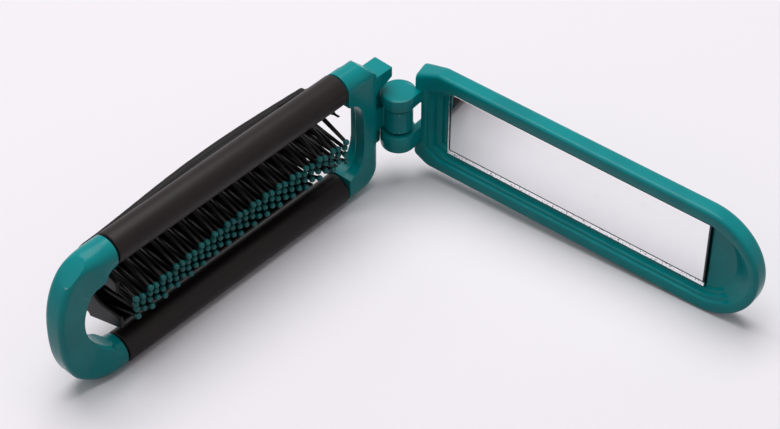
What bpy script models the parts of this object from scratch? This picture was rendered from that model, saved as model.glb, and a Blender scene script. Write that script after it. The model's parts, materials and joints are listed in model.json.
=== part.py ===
"""Folding pocket hairbrush with a mirror lid, standing open on its long edges.

Both halves are modelled in one half frame: +X runs out along a half from the hinge
axis, +Z is up along that axis, -Y is the brush side and +Y the lid side when shut.
Each half hangs from an empty on the hinge axis, so a turn of one empty opens the lid.
Lengths are in metres.
"""

from math import acos, asin, atan2, copysign, cos, hypot, pi, radians, sin, sqrt, tan, tau

import bmesh
import bpy
import numpy as np
from mathutils import Matrix, Vector

# Whole brush
OPEN_ANGLE = radians(94.55)
BRUSH_WIDTH = 0.0377
FRONT_SETBACK = 0.0010
GAP = 0.0003
OVERRUN = 0.0010
EMBED = 0.0004
MERGE = 0.000001

# Bristle plate: a bowed slat with a pair of guide legs at each end
PLATE_START = 0.0156
PLATE_LENGTH = 0.0698
PLATE_THICK = 0.0015
PLATE_CURVE = 0.0245
PLATE_CORNER = 0.0016
PLATE_EDGE_Y = 0.01394
PLATE_BOW = 0.00213
PLATE_BOW_SHARES = (0.484, 0.941, 1.000, 0.490, 0.000)
PLATE_RAIL_CLEARANCE = 0.00095
LEG_THICK = 0.0010
LEG_WIDTH = 0.0024
FAR_LEG_WIDTH = 0.0066
LEG_FRONT = 0.0052
LEG_CROWN = 0.0112
FAR_LEG_FRONT = 0.0024
FAR_LEG_TAPER = 0.0034

# Side rails: a soft sleeve over a core that is moulded with the hinge-end cap
SLEEVE_RADIUS = 0.00385
SLEEVE_WALL = 0.00095
SLEEVE_START = 0.0154
SLEEVE_SHORTER = 0.0004
SLEEVE_PROUD = 0.00010
SOCKET_DEPTH = 0.0035

# Hinge end of the opening between the rails: half a squared ellipse
OPENING_END = 0.0076
HINGE_ARC_X = 0.0180

# Far-end cap, with its places measured from the sleeves' end
FAR_CENTRE_OUT = 0.0022
FAR_REACH = 0.0141
FAR_POWER = 2.34
FAR_ARC_BACK = 0.0015
FAR_INNER_TIGHTER = 0.00035
FAR_FRONT_STEP = 0.0016
FAR_BACK_STEP = 0.0003
FAR_OUTER_ROUND = 0.0014
FAR_INNER_ROUND = 0.0009
FAR_BLEND_SHARE = 0.45
FAR_INNER_BLEND_SHARE = 0.16
FACET_TURN = radians(37.5)
FACET_LEAN = radians(6.6)
FACET_DEPTH = 0.00050

# Hinge-end cap
BLOCK_X = 0.0048
UPPER_SHOULDER = 0.0045
LOWER_SHOULDER = 0.0068
END_ROUND = 0.0026
OPENING_POWER = 3.3
CAP_DEPTH = 0.0058
RELIEF_X = 0.0118
TAB_X = 0.0005
TAB_INSET = 0.0047
TAB_SETBACK = 0.0015
TAB_TIP_HEIGHT = 0.0028
TAB_ROOT_HEIGHT = 0.0057
WEB_SETBACK = 0.0022
WALL_X = 0.0014
WALL_SETBACK = 0.0034
RECESS_SETBACK = 0.0039
RECESS_DEPTH = 0.0016

# Hinge barrel: a knuckle on the brush between two discs on the lid
DISC_RADIUS = 0.0042
BARREL_RISE = 0.00765
UPPER_DISC = 0.0035
KNUCKLE_RADIUS = 0.00345
KNUCKLE_HEIGHT = 0.0072
LOWER_DISC = 0.0046
PIN_RADIUS = 0.0009
PIN_COVER = 0.0012
PIN_RECESS = 0.0005

# Bristle pad: slices that carry the pins
PAD_SLICES = 4
PAD_THICK = 0.0010
PAD_INSET = 0.0009
PAD_MARGIN = 0.0004
ROWS = 33
ROW_MARGIN = 0.0017
LAST_ROW_MARGIN = 0.0025
WIDE_ROW = (-1.0, -1.0 / 3, 1.0 / 3, 1.0)
NARROW_ROW = (-2.0 / 3, 0.0, 2.0 / 3)
PIN_INSET = 0.00125
BRISTLE_LENGTH = 0.0154
BRISTLE_ROOT_RADIUS = 0.00050
BRISTLE_NECK_RADIUS = 0.00038
BALL_RADIUS = 0.00070
BRISTLE_SIDES = 4

# Mirror lid
LID_NARROWER = 0.0043
LID_START = 0.0022
LID_PAST_SLEEVES = 0.0098
LID_FRONT = 0.0030
LID_THICK = 0.0045
LID_UPPER_SHOULDER = (0.0064, 0.0031)
LID_LOWER_SHOULDER = (0.0036, 0.0018)
LID_FRONT_ROUND = 0.0009
LID_BACK_ROUND = 0.0014
RIM_LAND = 0.0032
RIM_SLOPE = 0.0022
RIM_PROFILE = ((0.12, 0.18), (0.62, 0.60), (0.72, 0.85), (1.00, 1.00))
RIM_FAR_LAND = 0.0020
RIM_FAR_SLOPE = 0.0047
RIM_HINGE_LAND_X = 0.0075
RIM_HINGE_FLOOR_X = 0.0092
FIELD_DEPTH = 0.0027
WINDOW_X = 0.0042

# Mirror glass on its adhesive pad
GLASS_X = 0.0107
GLASS_TO_LID_END = 0.0137
GLASS_RIM = 0.00535
GLASS_THICK = 0.0010
GLASS_SETBACK = 0.0018
ADHESIVE_THICK = 0.0004
ADHESIVE_INSET = 0.0020

# Facets
ARC_STEPS = 20
FAR_STATIONS = 14
CAP_ROUND_STEPS = 5
ROUND_SEGMENTS = 4
PLATE_STATIONS = 18
PLATE_STRIPS = 8
PAD_STRIPS = 6
PAD_STATIONS = 4
RAIL_SIDES = 28
BARREL_SIDES = 32
PIN_SIDES = 20

# Places that follow from the sizes above
MIDDLE = BRUSH_WIDTH / 2
RAIL_OFFSET = MIDDLE - SLEEVE_RADIUS
RAIL_Y = -(FRONT_SETBACK + SLEEVE_RADIUS)
STUB_RADIUS = SLEEVE_RADIUS - SLEEVE_PROUD
STUB_ROUND = STUB_RADIUS * 0.985
SLEEVE_LENGTH = PLATE_LENGTH - SLEEVE_SHORTER
SLEEVE_END = SLEEVE_START + SLEEVE_LENGTH
SOCKET_RADIUS = SLEEVE_RADIUS - SLEEVE_WALL
CORE_RADIUS = SOCKET_RADIUS - GAP
CAP_FRONT = RAIL_Y + STUB_RADIUS
CAP_BACK = RAIL_Y - STUB_RADIUS
CAP_HALF = RAIL_OFFSET + STUB_RADIUS
OPENING_HALF = RAIL_OFFSET - STUB_RADIUS
TAB_TOP = BRUSH_WIDTH - TAB_INSET
FAR_CENTRE_X = SLEEVE_END + FAR_CENTRE_OUT
FAR_ARC_X = SLEEVE_END - FAR_ARC_BACK
FAR_ARC_RADIUS = OPENING_HALF - FAR_INNER_TIGHTER
PLATE_HALF = OPENING_HALF - PLATE_RAIL_CLEARANCE
PLATE_END = PLATE_START + PLATE_LENGTH
PLATE_SAG = PLATE_CURVE - sqrt(PLATE_CURVE ** 2 - PLATE_HALF ** 2)
PAD_HALF = PLATE_HALF - PAD_INSET
PAD_FACE = PLATE_CURVE - PLATE_THICK - GAP
FAN_ANGLE = asin((PAD_HALF - PIN_INSET) / PAD_FACE)
TIP_FROM_CENTRE = PAD_FACE - BRISTLE_LENGTH
FIRST_ROW_X = PLATE_START + ROW_MARGIN
ROW_PITCH = (PLATE_END - LAST_ROW_MARGIN - FIRST_ROW_X) / (ROWS - 1)
PIN_BORE = PIN_RADIUS + GAP
DISC_TOP = MIDDLE + BARREL_RISE
KNUCKLE_TOP = DISC_TOP - UPPER_DISC - GAP
KNUCKLE_BASE = KNUCKLE_TOP - KNUCKLE_HEIGHT
LOWER_DISC_TOP = KNUCKLE_BASE - GAP
DISC_BASE = LOWER_DISC_TOP - LOWER_DISC
LID_HALF = MIDDLE - LID_NARROWER
LID_END = SLEEVE_END + LID_PAST_SLEEVES
LID_BACK = LID_FRONT + LID_THICK
GLASS_WIDTH = 2 * (LID_HALF - GLASS_RIM)
GLASS_LENGTH = LID_END - GLASS_TO_LID_END - GLASS_X


def clear_scene():
    """Remove what is in the scene."""
    for thing in list(bpy.data.objects):
        bpy.data.objects.remove(thing, do_unlink=True)


def new_collection(name):
    """Make a collection in the scene."""
    made = bpy.data.collections.new(name)
    bpy.context.scene.collection.children.link(made)
    return made


def new_empty(name, location, turn, parent=None):
    """Make an empty that carries a half or stands on a joint axis."""
    empty = bpy.data.objects.new(name, None)
    empty.empty_display_size = BRUSH_WIDTH / 4
    empty.location = location
    empty.rotation_euler = (0.0, 0.0, turn)
    empty.parent = parent
    PARTS.objects.link(empty)
    return empty


def material(name, colour, roughness, metallic=0.0):
    """Make a Principled material."""
    made = bpy.data.materials.new(name)
    made.use_nodes = True
    shader = made.node_tree.nodes["Principled BSDF"]
    shader.inputs["Base Color"].default_value = (*colour, 1.0)
    shader.inputs["Roughness"].default_value = roughness
    shader.inputs["Metallic"].default_value = metallic
    made.diffuse_color = (*colour, 1.0)
    return made


def mesh_from(bm, name):
    """Turn a bmesh into a mesh with its faces pointing out."""
    bm.normal_update()
    bmesh.ops.recalc_face_normals(bm, faces=bm.faces)
    mesh = bpy.data.meshes.new(name)
    bm.to_mesh(mesh)
    bm.free()
    return mesh


def part(name, mesh, finish, parent):
    """Make a named piece of the brush."""
    made = bpy.data.objects.new(name, mesh)
    made.data.materials.clear()
    made.data.materials.append(finish)
    made.parent = parent
    PARTS.objects.link(made)
    return made


def tool(name, mesh, parent):
    """Make a hidden shape that is cut from, joined to or kept of a piece."""
    made = bpy.data.objects.new(name, mesh)
    made.hide_render = True
    made.display_type = "WIRE"
    made.parent = parent
    TOOLS.objects.link(made)
    return made


def combine(target, other, operation):
    """Add a Boolean modifier that works with another object."""
    made = target.modifiers.new(other.name, "BOOLEAN")
    made.operation = operation
    made.solver = "EXACT"
    made.object = other


def smooth(thing, angle=radians(32.0)):
    """Shade a round piece smooth, with its sharp edges kept."""
    thing.data.shade_smooth()
    thing.data.set_sharp_from_angle(angle=angle)


def box(low, high):
    """Make a box mesh between two corners."""
    bm = bmesh.new()
    bmesh.ops.create_cube(bm, size=1.0)
    low, high = Vector(low), Vector(high)
    size = Matrix.Diagonal((*(high - low), 1.0))
    bm.transform(Matrix.Translation((low + high) / 2) @ size)
    return mesh_from(bm, "box")


def cylinder(radius, start, end, axis, sides, centre=(0.0, 0.0, 0.0)):
    """Make a cylinder mesh that runs from start to end along X or Z."""
    bm = bmesh.new()
    size = {"radius1": radius, "radius2": radius, "depth": end - start}
    bmesh.ops.create_cone(bm, cap_ends=True, segments=sides, **size)
    along = Vector((1.0, 0.0, 0.0)) if axis == "X" else Vector((0.0, 0.0, 1.0))
    turn = Matrix.Rotation(pi / 2, 4, "Y") if axis == "X" else Matrix.Identity(4)
    bm.transform(Matrix.Translation(Vector(centre) + along * (start + end) / 2) @ turn)
    return mesh_from(bm, "cylinder")


def prism(outline, start, end, axis):
    """Fill a flat outline and extrude it along an axis.

    Along Y the outline's points are (x, z), along X (y, z) and along Z (x, y).
    """
    curve = bpy.data.curves.new("outline", "CURVE")
    curve.dimensions = "2D"
    curve.fill_mode = "BOTH"
    curve.extrude = (end - start) / 2
    spline = curve.splines.new("POLY")
    spline.points.add(len(outline) - 1)
    for point, (across, up) in zip(spline.points, outline):
        point.co = (across, up, 0.0, 1.0)
    spline.use_cyclic_u = True
    holder = bpy.data.objects.new("outline", curve)
    bpy.context.scene.collection.objects.link(holder)
    bpy.context.view_layer.update()
    evaluated = holder.evaluated_get(bpy.context.evaluated_depsgraph_get())
    flat = bpy.data.meshes.new_from_object(evaluated)
    bm = bmesh.new()
    bm.from_mesh(flat)
    bmesh.ops.remove_doubles(bm, verts=bm.verts, dist=MERGE)
    bmesh.ops.dissolve_limit(bm, angle_limit=radians(0.5), verts=bm.verts, edges=bm.edges)
    middle = (start + end) / 2
    if axis == "Y":
        bm.transform(Matrix.Translation((0.0, middle, 0.0)) @ Matrix.Rotation(pi / 2, 4, "X"))
    elif axis == "X":
        cycle = Matrix(((0, 0, 1, 0), (1, 0, 0, 0), (0, 1, 0, 0), (0, 0, 0, 1)))
        bm.transform(Matrix.Translation((middle, 0.0, 0.0)) @ cycle)
    else:
        bm.transform(Matrix.Translation((0.0, 0.0, middle)))
    bpy.data.objects.remove(holder, do_unlink=True)
    bpy.data.curves.remove(curve)
    bpy.data.meshes.remove(flat)
    return mesh_from(bm, "prism")


def loft(rings):
    """Join rings of equal counts of points into a closed solid."""
    bm = bmesh.new()
    loops = [[bm.verts.new(point) for point in ring] for ring in rings]
    for lower, upper in zip(loops, loops[1:]):
        for i in range(len(lower)):
            j = (i + 1) % len(lower)
            bm.faces.new((lower[i], lower[j], upper[j], upper[i]))
    bm.faces.new(loops[0])
    bm.faces.new(loops[-1])
    return mesh_from(bm, "loft")


def arc(centre, size, start, end, steps=ARC_STEPS):
    """Points along part of an ellipse, with its ends."""
    points = []
    for i in range(steps + 1):
        angle = start + (end - start) * i / steps
        points.append((centre[0] + size[0] * cos(angle), centre[1] + size[1] * sin(angle)))
    return points


def weigh_edges(mesh, radius_at):
    """Give each edge the share of the largest radius that it is rounded by."""
    radii = []
    for edge in mesh.edges:
        ends = [mesh.vertices[v].co for v in edge.vertices]
        radii.append(radius_at(*ends))
    largest = max(radii)
    weights = mesh.attributes.new("bevel_weight_edge", "FLOAT", "EDGE")
    for datum, radius in zip(weights.data, radii):
        datum.value = radius / largest
    return largest


def round_edges(thing, radius_at, segments=ROUND_SEGMENTS):
    """Round a piece's edges, each by its own radius."""
    largest = weigh_edges(thing.data, radius_at)
    made = thing.modifiers.new("rounding", "BEVEL")
    made.limit_method = "WEIGHT"
    made.width = largest
    made.segments = segments


def opening_outline(end):
    """Outline of the hinge end of the space between the rails, in (x, z), that reaches an end."""
    past_x = HINGE_ARC_X + OVERRUN
    outline = [(past_x, MIDDLE + OPENING_HALF)]
    for across, up in arc((0.0, 0.0), (1.0, 1.0), pi / 2, 3 * pi / 2):
        out = max(-across, 0.0) ** (2 / OPENING_POWER)
        rise = copysign(abs(up) ** (2 / OPENING_POWER), up)
        outline.append((HINGE_ARC_X - end * out, MIDDLE + OPENING_HALF * rise))
    return outline + [(past_x, MIDDLE - OPENING_HALF)]


def rail_heights():
    """Heights of the lower and the upper rail's axis."""
    return {"lower": MIDDLE - RAIL_OFFSET, "upper": MIDDLE + RAIL_OFFSET}


def make_sleeves(brush, finish):
    """The two soft sleeves that make the side rails."""
    for side, height in rail_heights().items():
        centre = (0.0, RAIL_Y, height)
        start, end = SLEEVE_START + GAP / 2, SLEEVE_END - GAP / 2
        tube = cylinder(SLEEVE_RADIUS, start, end, "X", RAIL_SIDES, centre)
        sleeve = part(f"{side}_rail_sleeve", tube, finish, brush)
        bore = cylinder(SOCKET_RADIUS, start - OVERRUN, end + OVERRUN, "X", RAIL_SIDES, centre)
        combine(sleeve, tool(f"{side}_sleeve_bore", bore, brush), "DIFFERENCE")
        smooth(sleeve)


def power_arc(share, size):
    """A place on the far-end cap's squared ellipse, from -1 to 1 round its half."""
    angle = share * pi / 2
    across = size[0] * cos(angle) ** (2 / FAR_POWER)
    return across, copysign(size[1] * abs(sin(angle)) ** (2 / FAR_POWER), share)


def eased(share):
    """A share that starts and ends gently."""
    share = min(1.0, share)
    return share * share * (3 - 2 * share)


def between(start, end, share):
    """The value a share of the way from start to end."""
    return start + (end - start) * share


def far_cap_section(inner, outer, rounds, back, front):
    """Section of the far-end cap between two points of its path, given in (x, z)."""
    inner, outer = Vector(inner), Vector(outer)
    inner_round, outer_round = rounds
    width = (outer - inner).length
    corners = (
        (width - outer_round, back + outer_round, outer_round, -pi / 2),
        (width - outer_round, front - outer_round, outer_round, 0.0),
        (inner_round, front - inner_round, inner_round, pi / 2),
        (inner_round, back + inner_round, inner_round, pi),
    )
    ring = []
    for across, y, radius, start in corners:
        for reach, depth in arc((across, y), (radius, radius), start, start + pi / 2, CAP_ROUND_STEPS):
            place = inner.lerp(outer, reach / width)
            ring.append((place.x, depth, MIDDLE + place.y))
    return ring


def far_cap_body():
    """The cap's hook, swept from the lower rail's stub round to the upper one's.

    It starts as round as the rails and thins to a flat hook with eased edges.
    """
    rings = []
    stub_x = SLEEVE_END + GAP / 2
    bend = acos((FAR_CENTRE_X - FAR_ARC_X) / FAR_ARC_RADIUS)
    for i in range(-FAR_STATIONS, FAR_STATIONS + 1):
        share = i / FAR_STATIONS
        outer = power_arc(share, (FAR_REACH, CAP_HALF))
        inner = (FAR_ARC_X + FAR_ARC_RADIUS * cos(share * bend), FAR_ARC_RADIUS * sin(share * bend))
        flat = eased((1.0 - abs(share)) / FAR_BLEND_SHARE)
        inner_flat = eased((1.0 - abs(share)) / FAR_INNER_BLEND_SHARE)
        inner_round = between(STUB_ROUND, FAR_INNER_ROUND, inner_flat)
        rounds = (inner_round, between(STUB_ROUND, FAR_OUTER_ROUND, flat))
        back = CAP_BACK + FAR_BACK_STEP * flat
        front = CAP_FRONT - FAR_FRONT_STEP * flat
        outer = (FAR_CENTRE_X + outer[0], outer[1])
        rings.append(far_cap_section(inner, outer, rounds, back, front))
    for side, place in ((-1.0, 0), (1.0, len(rings) + 1)):
        ends = (stub_x, side * (CAP_HALF - 2 * STUB_RADIUS)), (stub_x, side * CAP_HALF)
        rings.insert(place, far_cap_section(*ends, (STUB_ROUND, STUB_ROUND), CAP_BACK, CAP_FRONT))
    return loft(rings)


def facet_cutter(side):
    """A block whose face cuts the flat on the cap's upper or lower corner.

    It is laid where the cap's outline already runs the facet's way.
    """
    turn = pi / 2 - FACET_TURN
    steepness = (tan(FACET_TURN) * FAR_REACH / CAP_HALF) ** (1 / (FAR_POWER - 1))
    rise = (1 / (1 + steepness ** FAR_POWER)) ** (1 / FAR_POWER)
    place = Vector((FAR_CENTRE_X + FAR_REACH * rise * steepness, RAIL_Y, side * CAP_HALF * rise))
    out = Vector((cos(turn), 0.0, side * sin(turn)))
    leaned = (out + Vector((0.0, 1.0, 0.0)) * sin(FACET_LEAN)).normalized()
    size = FAR_REACH
    bm = bmesh.new()
    bmesh.ops.create_cube(bm, size=size)
    aim = leaned.to_track_quat("Z", "Y").to_matrix().to_4x4()
    centre = place + Vector((0.0, 0.0, MIDDLE)) + leaned * (size / 2 - FACET_DEPTH)
    bm.transform(Matrix.Translation(centre) @ aim)
    return mesh_from(bm, "facet")


def make_far_cap(brush, finish):
    """The hook-shaped cap at the far end, with sockets for the rails' cores."""
    cap = part("far_end_cap", far_cap_body(), finish, brush)
    for side, sign in (("lower", -1.0), ("upper", 1.0)):
        combine(cap, tool(f"{side}_facet", facet_cutter(sign), brush), "DIFFERENCE")
    start = SLEEVE_END + GAP / 2
    for side, height in rail_heights().items():
        centre = (0.0, RAIL_Y, height)
        socket = cylinder(SOCKET_RADIUS, start - OVERRUN, start + SOCKET_DEPTH, "X", RAIL_SIDES, centre)
        combine(cap, tool(f"{side}_socket", socket, brush), "DIFFERENCE")
    smooth(cap)


def stadium_section():
    """Section of the hinge-end cap across its length, in (y, z)."""
    top = arc((RAIL_Y, MIDDLE + RAIL_OFFSET), (STUB_RADIUS, STUB_RADIUS), 0.0, pi, RAIL_SIDES // 2)
    bottom = arc((RAIL_Y, MIDDLE - RAIL_OFFSET), (STUB_RADIUS, STUB_RADIUS), pi, tau, RAIL_SIDES // 2)
    return top + bottom


def hinge_cap_outline():
    """Outline that the hinge-end cap is kept inside of, in (x, z), with cut shoulders."""
    past_x, past = SLEEVE_START + OVERRUN, CAP_HALF + OVERRUN
    upper_x = BLOCK_X + UPPER_SHOULDER + OVERRUN
    lower_x = BLOCK_X + LOWER_SHOULDER + OVERRUN
    return [
        (past_x, MIDDLE + past),
        (upper_x, MIDDLE + past),
        (BLOCK_X, MIDDLE + CAP_HALF - UPPER_SHOULDER),
        (BLOCK_X, MIDDLE - CAP_HALF + LOWER_SHOULDER),
        (lower_x, MIDDLE - past),
        (past_x, MIDDLE - past),
    ]


def hinge_cap_plan():
    """Outline that the hinge-end cap is kept inside of, in (x, y), with a rounded front edge."""
    past_x, round_x = SLEEVE_START + OVERRUN, BLOCK_X + END_ROUND
    edge = arc((round_x, CAP_FRONT - END_ROUND), (END_ROUND, END_ROUND), pi, pi / 2, ROUND_SEGMENTS * 2)
    back, front = CAP_BACK - OVERRUN, CAP_FRONT + OVERRUN
    return [(BLOCK_X, back)] + edge + [(round_x, front), (past_x, front), (past_x, back)]


def disc_ranges():
    """Heights from base to top of the lid's two discs."""
    return {
        "upper": (DISC_TOP - UPPER_DISC, DISC_TOP),
        "lower": (DISC_BASE, LOWER_DISC_TOP),
    }


def make_hinge_cap(brush, finish):
    """The cap at the hinge: rail stubs and cores, end block, knuckle and bore."""
    face = SLEEVE_START - GAP / 2
    cap = part("hinge_end_cap", prism(stadium_section(), BLOCK_X, face, "X"), finish, brush)
    outline = prism(hinge_cap_outline(), CAP_BACK - OVERRUN, CAP_FRONT + OVERRUN, "Y")
    combine(cap, tool("hinge_cap_outline", outline, brush), "INTERSECT")
    plan = prism(hinge_cap_plan(), -OVERRUN, BRUSH_WIDTH + OVERRUN, "Z")
    combine(cap, tool("hinge_cap_plan", plan, brush), "INTERSECT")

    back = CAP_FRONT - CAP_DEPTH
    relief = box((BLOCK_X - OVERRUN, CAP_BACK - OVERRUN, -OVERRUN), (RELIEF_X, back, BRUSH_WIDTH + OVERRUN))
    combine(cap, tool("back_relief", relief, brush), "DIFFERENCE")
    opening = prism(opening_outline(OPENING_END), CAP_BACK - OVERRUN, CAP_FRONT + OVERRUN, "Y")
    combine(cap, tool("opening", opening, brush), "DIFFERENCE")
    recess = prism(opening_outline(OPENING_END + RECESS_DEPTH), CAP_BACK - OVERRUN, -RECESS_SETBACK, "Y")
    combine(cap, tool("opening_recess", recess, brush), "DIFFERENCE")

    root_x = BLOCK_X + END_ROUND
    tip, root = TAB_TOP - TAB_TIP_HEIGHT, TAB_TOP - TAB_ROOT_HEIGHT
    tab = [(root_x, TAB_TOP), (TAB_X, TAB_TOP), (TAB_X, tip), (root_x, root)]
    combine(cap, tool("end_tab", prism(tab, back, -TAB_SETBACK, "Y"), brush), "UNION")
    web = box((0.0, -KNUCKLE_RADIUS, KNUCKLE_BASE), (root_x, -WEB_SETBACK, KNUCKLE_TOP))
    combine(cap, tool("knuckle_web", web, brush), "UNION")
    wall = box((WALL_X, back, DISC_BASE), (root_x, -WALL_SETBACK, DISC_TOP))
    combine(cap, tool("barrel_wall", wall, brush), "UNION")
    for side, (base, top) in disc_ranges().items():
        low = base - (GAP if side == "lower" else GAP / 2)
        high = top + (GAP if side == "upper" else GAP / 2)
        if side == "upper":
            low = KNUCKLE_TOP
        else:
            high = KNUCKLE_BASE
        recess = cylinder(DISC_RADIUS + GAP, low, high, "Z", BARREL_SIDES)
        combine(cap, tool(f"{side}_disc_recess", recess, brush), "DIFFERENCE")
    knuckle = cylinder(KNUCKLE_RADIUS, KNUCKLE_BASE, KNUCKLE_TOP, "Z", BARREL_SIDES)
    combine(cap, tool("knuckle", knuckle, brush), "UNION")
    bore = cylinder(PIN_BORE, KNUCKLE_BASE - OVERRUN, KNUCKLE_TOP + OVERRUN, "Z", PIN_SIDES)
    combine(cap, tool("knuckle_bore", bore, brush), "DIFFERENCE")

    end = SLEEVE_END + GAP / 2 + SOCKET_DEPTH - GAP
    for side, height in rail_heights().items():
        core = cylinder(CORE_RADIUS, face - OVERRUN, end, "X", RAIL_SIDES, (0.0, RAIL_Y, height))
        combine(cap, tool(f"{side}_core", core, brush), "UNION")
    smooth(cap)


def bow_at(x):
    """How far the plate bows back from its far end's edge, at a place along it."""
    places = np.linspace(0.0, 1.0, len(PLATE_BOW_SHARES))
    curve = np.polyfit(places, PLATE_BOW_SHARES, len(PLATE_BOW_SHARES) - 1)
    return PLATE_BOW * float(np.polyval(curve, (x - PLATE_START) / PLATE_LENGTH))


def curve_centre_y(x):
    """Y of the line that the plate's cross curve and the pins are centred on."""
    return -(PLATE_EDGE_Y + bow_at(x) + PLATE_SAG) + PLATE_CURVE


def curved_shell(start, end, stations, strips, radius, half, thick):
    """A closed strip on the plate's cross curve, its outer face at a radius."""
    limit = asin(half / radius)
    rings = []
    for i in range(stations + 1):
        x = start + (end - start) * i / stations
        y = curve_centre_y(x)
        angles = [limit * (2 * j / strips - 1) for j in range(strips + 1)]
        outer = [(x, y - radius * cos(a), MIDDLE + radius * sin(a)) for a in angles]
        inside = radius - thick
        inner = [(x, y - inside * cos(a), MIDDLE + inside * sin(a)) for a in reversed(angles)]
        rings.append(outer + inner)
    return loft(rings)


def leg_wall(x, width, front, taper):
    """An end wall of the plate, arched so that a leg of a width stands at each side."""
    half = PLATE_HALF
    back = curve_centre_y(x) - PLATE_CURVE + PLATE_SAG + PLATE_THICK - EMBED
    inner = half - width
    arch = arc((-LEG_CROWN + inner, MIDDLE), (inner, inner), pi / 2, 3 * pi / 2, ARC_STEPS // 2)
    outline = [
        (-front, MIDDLE + half - taper),
        (back, MIDDLE + half),
        (back - PLATE_SAG / 2, MIDDLE + half / 2),
        (back - PLATE_SAG / 2, MIDDLE - half / 2),
        (back, MIDDLE - half),
        (-front, MIDDLE - half + taper),
        (-front, MIDDLE - inner),
        *reversed(arch),
        (-front, MIDDLE + inner),
    ]
    return prism(outline, x, x + LEG_THICK, "X")


def plate_outline():
    """Rounded rectangle that the plate is kept inside of, in (x, z)."""
    corners = (
        (PLATE_END - PLATE_CORNER, MIDDLE - PLATE_HALF + PLATE_CORNER, -pi / 2),
        (PLATE_END - PLATE_CORNER, MIDDLE + PLATE_HALF - PLATE_CORNER, 0.0),
        (PLATE_START + PLATE_CORNER, MIDDLE + PLATE_HALF - PLATE_CORNER, pi / 2),
        (PLATE_START + PLATE_CORNER, MIDDLE - PLATE_HALF + PLATE_CORNER, pi),
    )
    outline = []
    for x, z, start in corners:
        outline += arc((x, z), (PLATE_CORNER, PLATE_CORNER), start, start + pi / 2, ROUND_SEGMENTS)
    return outline


def make_bristle_plate(slider, finish):
    """The bowed slat behind the frame, with its guide legs."""
    start, end = PLATE_START - EMBED, PLATE_END + EMBED
    size = (PLATE_CURVE, PLATE_HALF + EMBED, PLATE_THICK)
    shell = curved_shell(start, end, PLATE_STATIONS, PLATE_STRIPS, *size)
    plate = part("bristle_plate", shell, finish, slider)
    far_back = PLATE_EDGE_Y + PLATE_BOW + PLATE_SAG + OVERRUN
    keep = prism(plate_outline(), -far_back, -LEG_FRONT, "Y")
    combine(plate, tool("plate_outline", keep, slider), "INTERSECT")
    hinge_legs = leg_wall(PLATE_START, LEG_WIDTH, LEG_FRONT, 0.0)
    combine(plate, tool("hinge_end_legs", hinge_legs, slider), "UNION")
    far_legs = leg_wall(PLATE_END - LEG_THICK, FAR_LEG_WIDTH, FAR_LEG_FRONT, FAR_LEG_TAPER)
    combine(plate, tool("far_end_legs", far_legs, slider), "UNION")
    smooth(plate)


def bristle_rings(x, angle, root):
    """Rings of one pin with its ball tip, from its root in the pad to its apex."""
    centre = Vector((x, curve_centre_y(x), MIDDLE))
    out = Vector((0.0, -cos(angle), sin(angle)))
    side = Vector((0.0, sin(angle), cos(angle)))
    forward = Vector((1.0, 0.0, 0.0))
    tip = TIP_FROM_CENTRE
    profile = (
        (BRISTLE_ROOT_RADIUS, root),
        (BRISTLE_NECK_RADIUS, tip + 2 * BALL_RADIUS),
        (BALL_RADIUS, tip + BALL_RADIUS * 1.3),
        (BALL_RADIUS, tip + BALL_RADIUS * 0.7),
        (BALL_RADIUS * 0.4, tip),
    )
    rings = []
    for radius, reach in profile:
        ring = []
        for i in range(BRISTLE_SIDES):
            turn = tau * (i + 0.5) / BRISTLE_SIDES
            ring.append(centre + out * reach + side * radius * cos(turn) + forward * radius * sin(turn))
        rings.append(ring)
    return rings


def bristles(rows, root):
    """The pins of some rows as one mesh of closed pins that don't touch."""
    bm = bmesh.new()
    for row in rows:
        x = FIRST_ROW_X + row * ROW_PITCH
        for share in NARROW_ROW if row % 2 else WIDE_ROW:
            pin = loft(bristle_rings(x, share * FAN_ANGLE, root))
            bm.from_mesh(pin)
            bpy.data.meshes.remove(pin)
    return mesh_from(bm, "bristles")


def make_bristle_pad(slider, finish):
    """Slices of the pad behind the rails, each with its rows of pins."""
    root = PAD_FACE - PAD_THICK + EMBED
    start = FIRST_ROW_X - PAD_MARGIN
    for number in range(1, PAD_SLICES + 1):
        rows = range((number - 1) * ROWS // PAD_SLICES, number * ROWS // PAD_SLICES)
        low = start if number == 1 else FIRST_ROW_X + (rows[0] - 0.5) * ROW_PITCH + GAP / 2
        high = FIRST_ROW_X + (rows[-1] + 0.5) * ROW_PITCH - GAP / 2
        if number == PAD_SLICES:
            high = FIRST_ROW_X + rows[-1] * ROW_PITCH + PAD_MARGIN
        shell = curved_shell(low, high, PAD_STATIONS, PAD_STRIPS, PAD_FACE, PAD_HALF, PAD_THICK)
        slice_part = part(f"bristle_pad_{number}", shell, finish, slider)
        combine(slice_part, tool(f"bristles_{number}", bristles(rows, root), slider), "UNION")


def lid_outline(inset, far_inset, hinge_x):
    """Outline of the lid, or of a line some way inside it, in (x, z)."""
    half = LID_HALF - inset
    size = (LID_HALF - far_inset, half)
    far = arc((LID_END - LID_HALF, MIDDLE), size, -pi / 2, pi / 2, 2 * ARC_STEPS)
    upper_reach, upper_drop = LID_UPPER_SHOULDER
    lower_reach, lower_drop = LID_LOWER_SHOULDER
    return far + [
        (hinge_x + upper_reach, MIDDLE + half),
        (hinge_x, MIDDLE + half - upper_drop),
        (hinge_x, MIDDLE - half + lower_drop),
        (hinge_x + lower_reach, MIDDLE - half),
    ]


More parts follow.
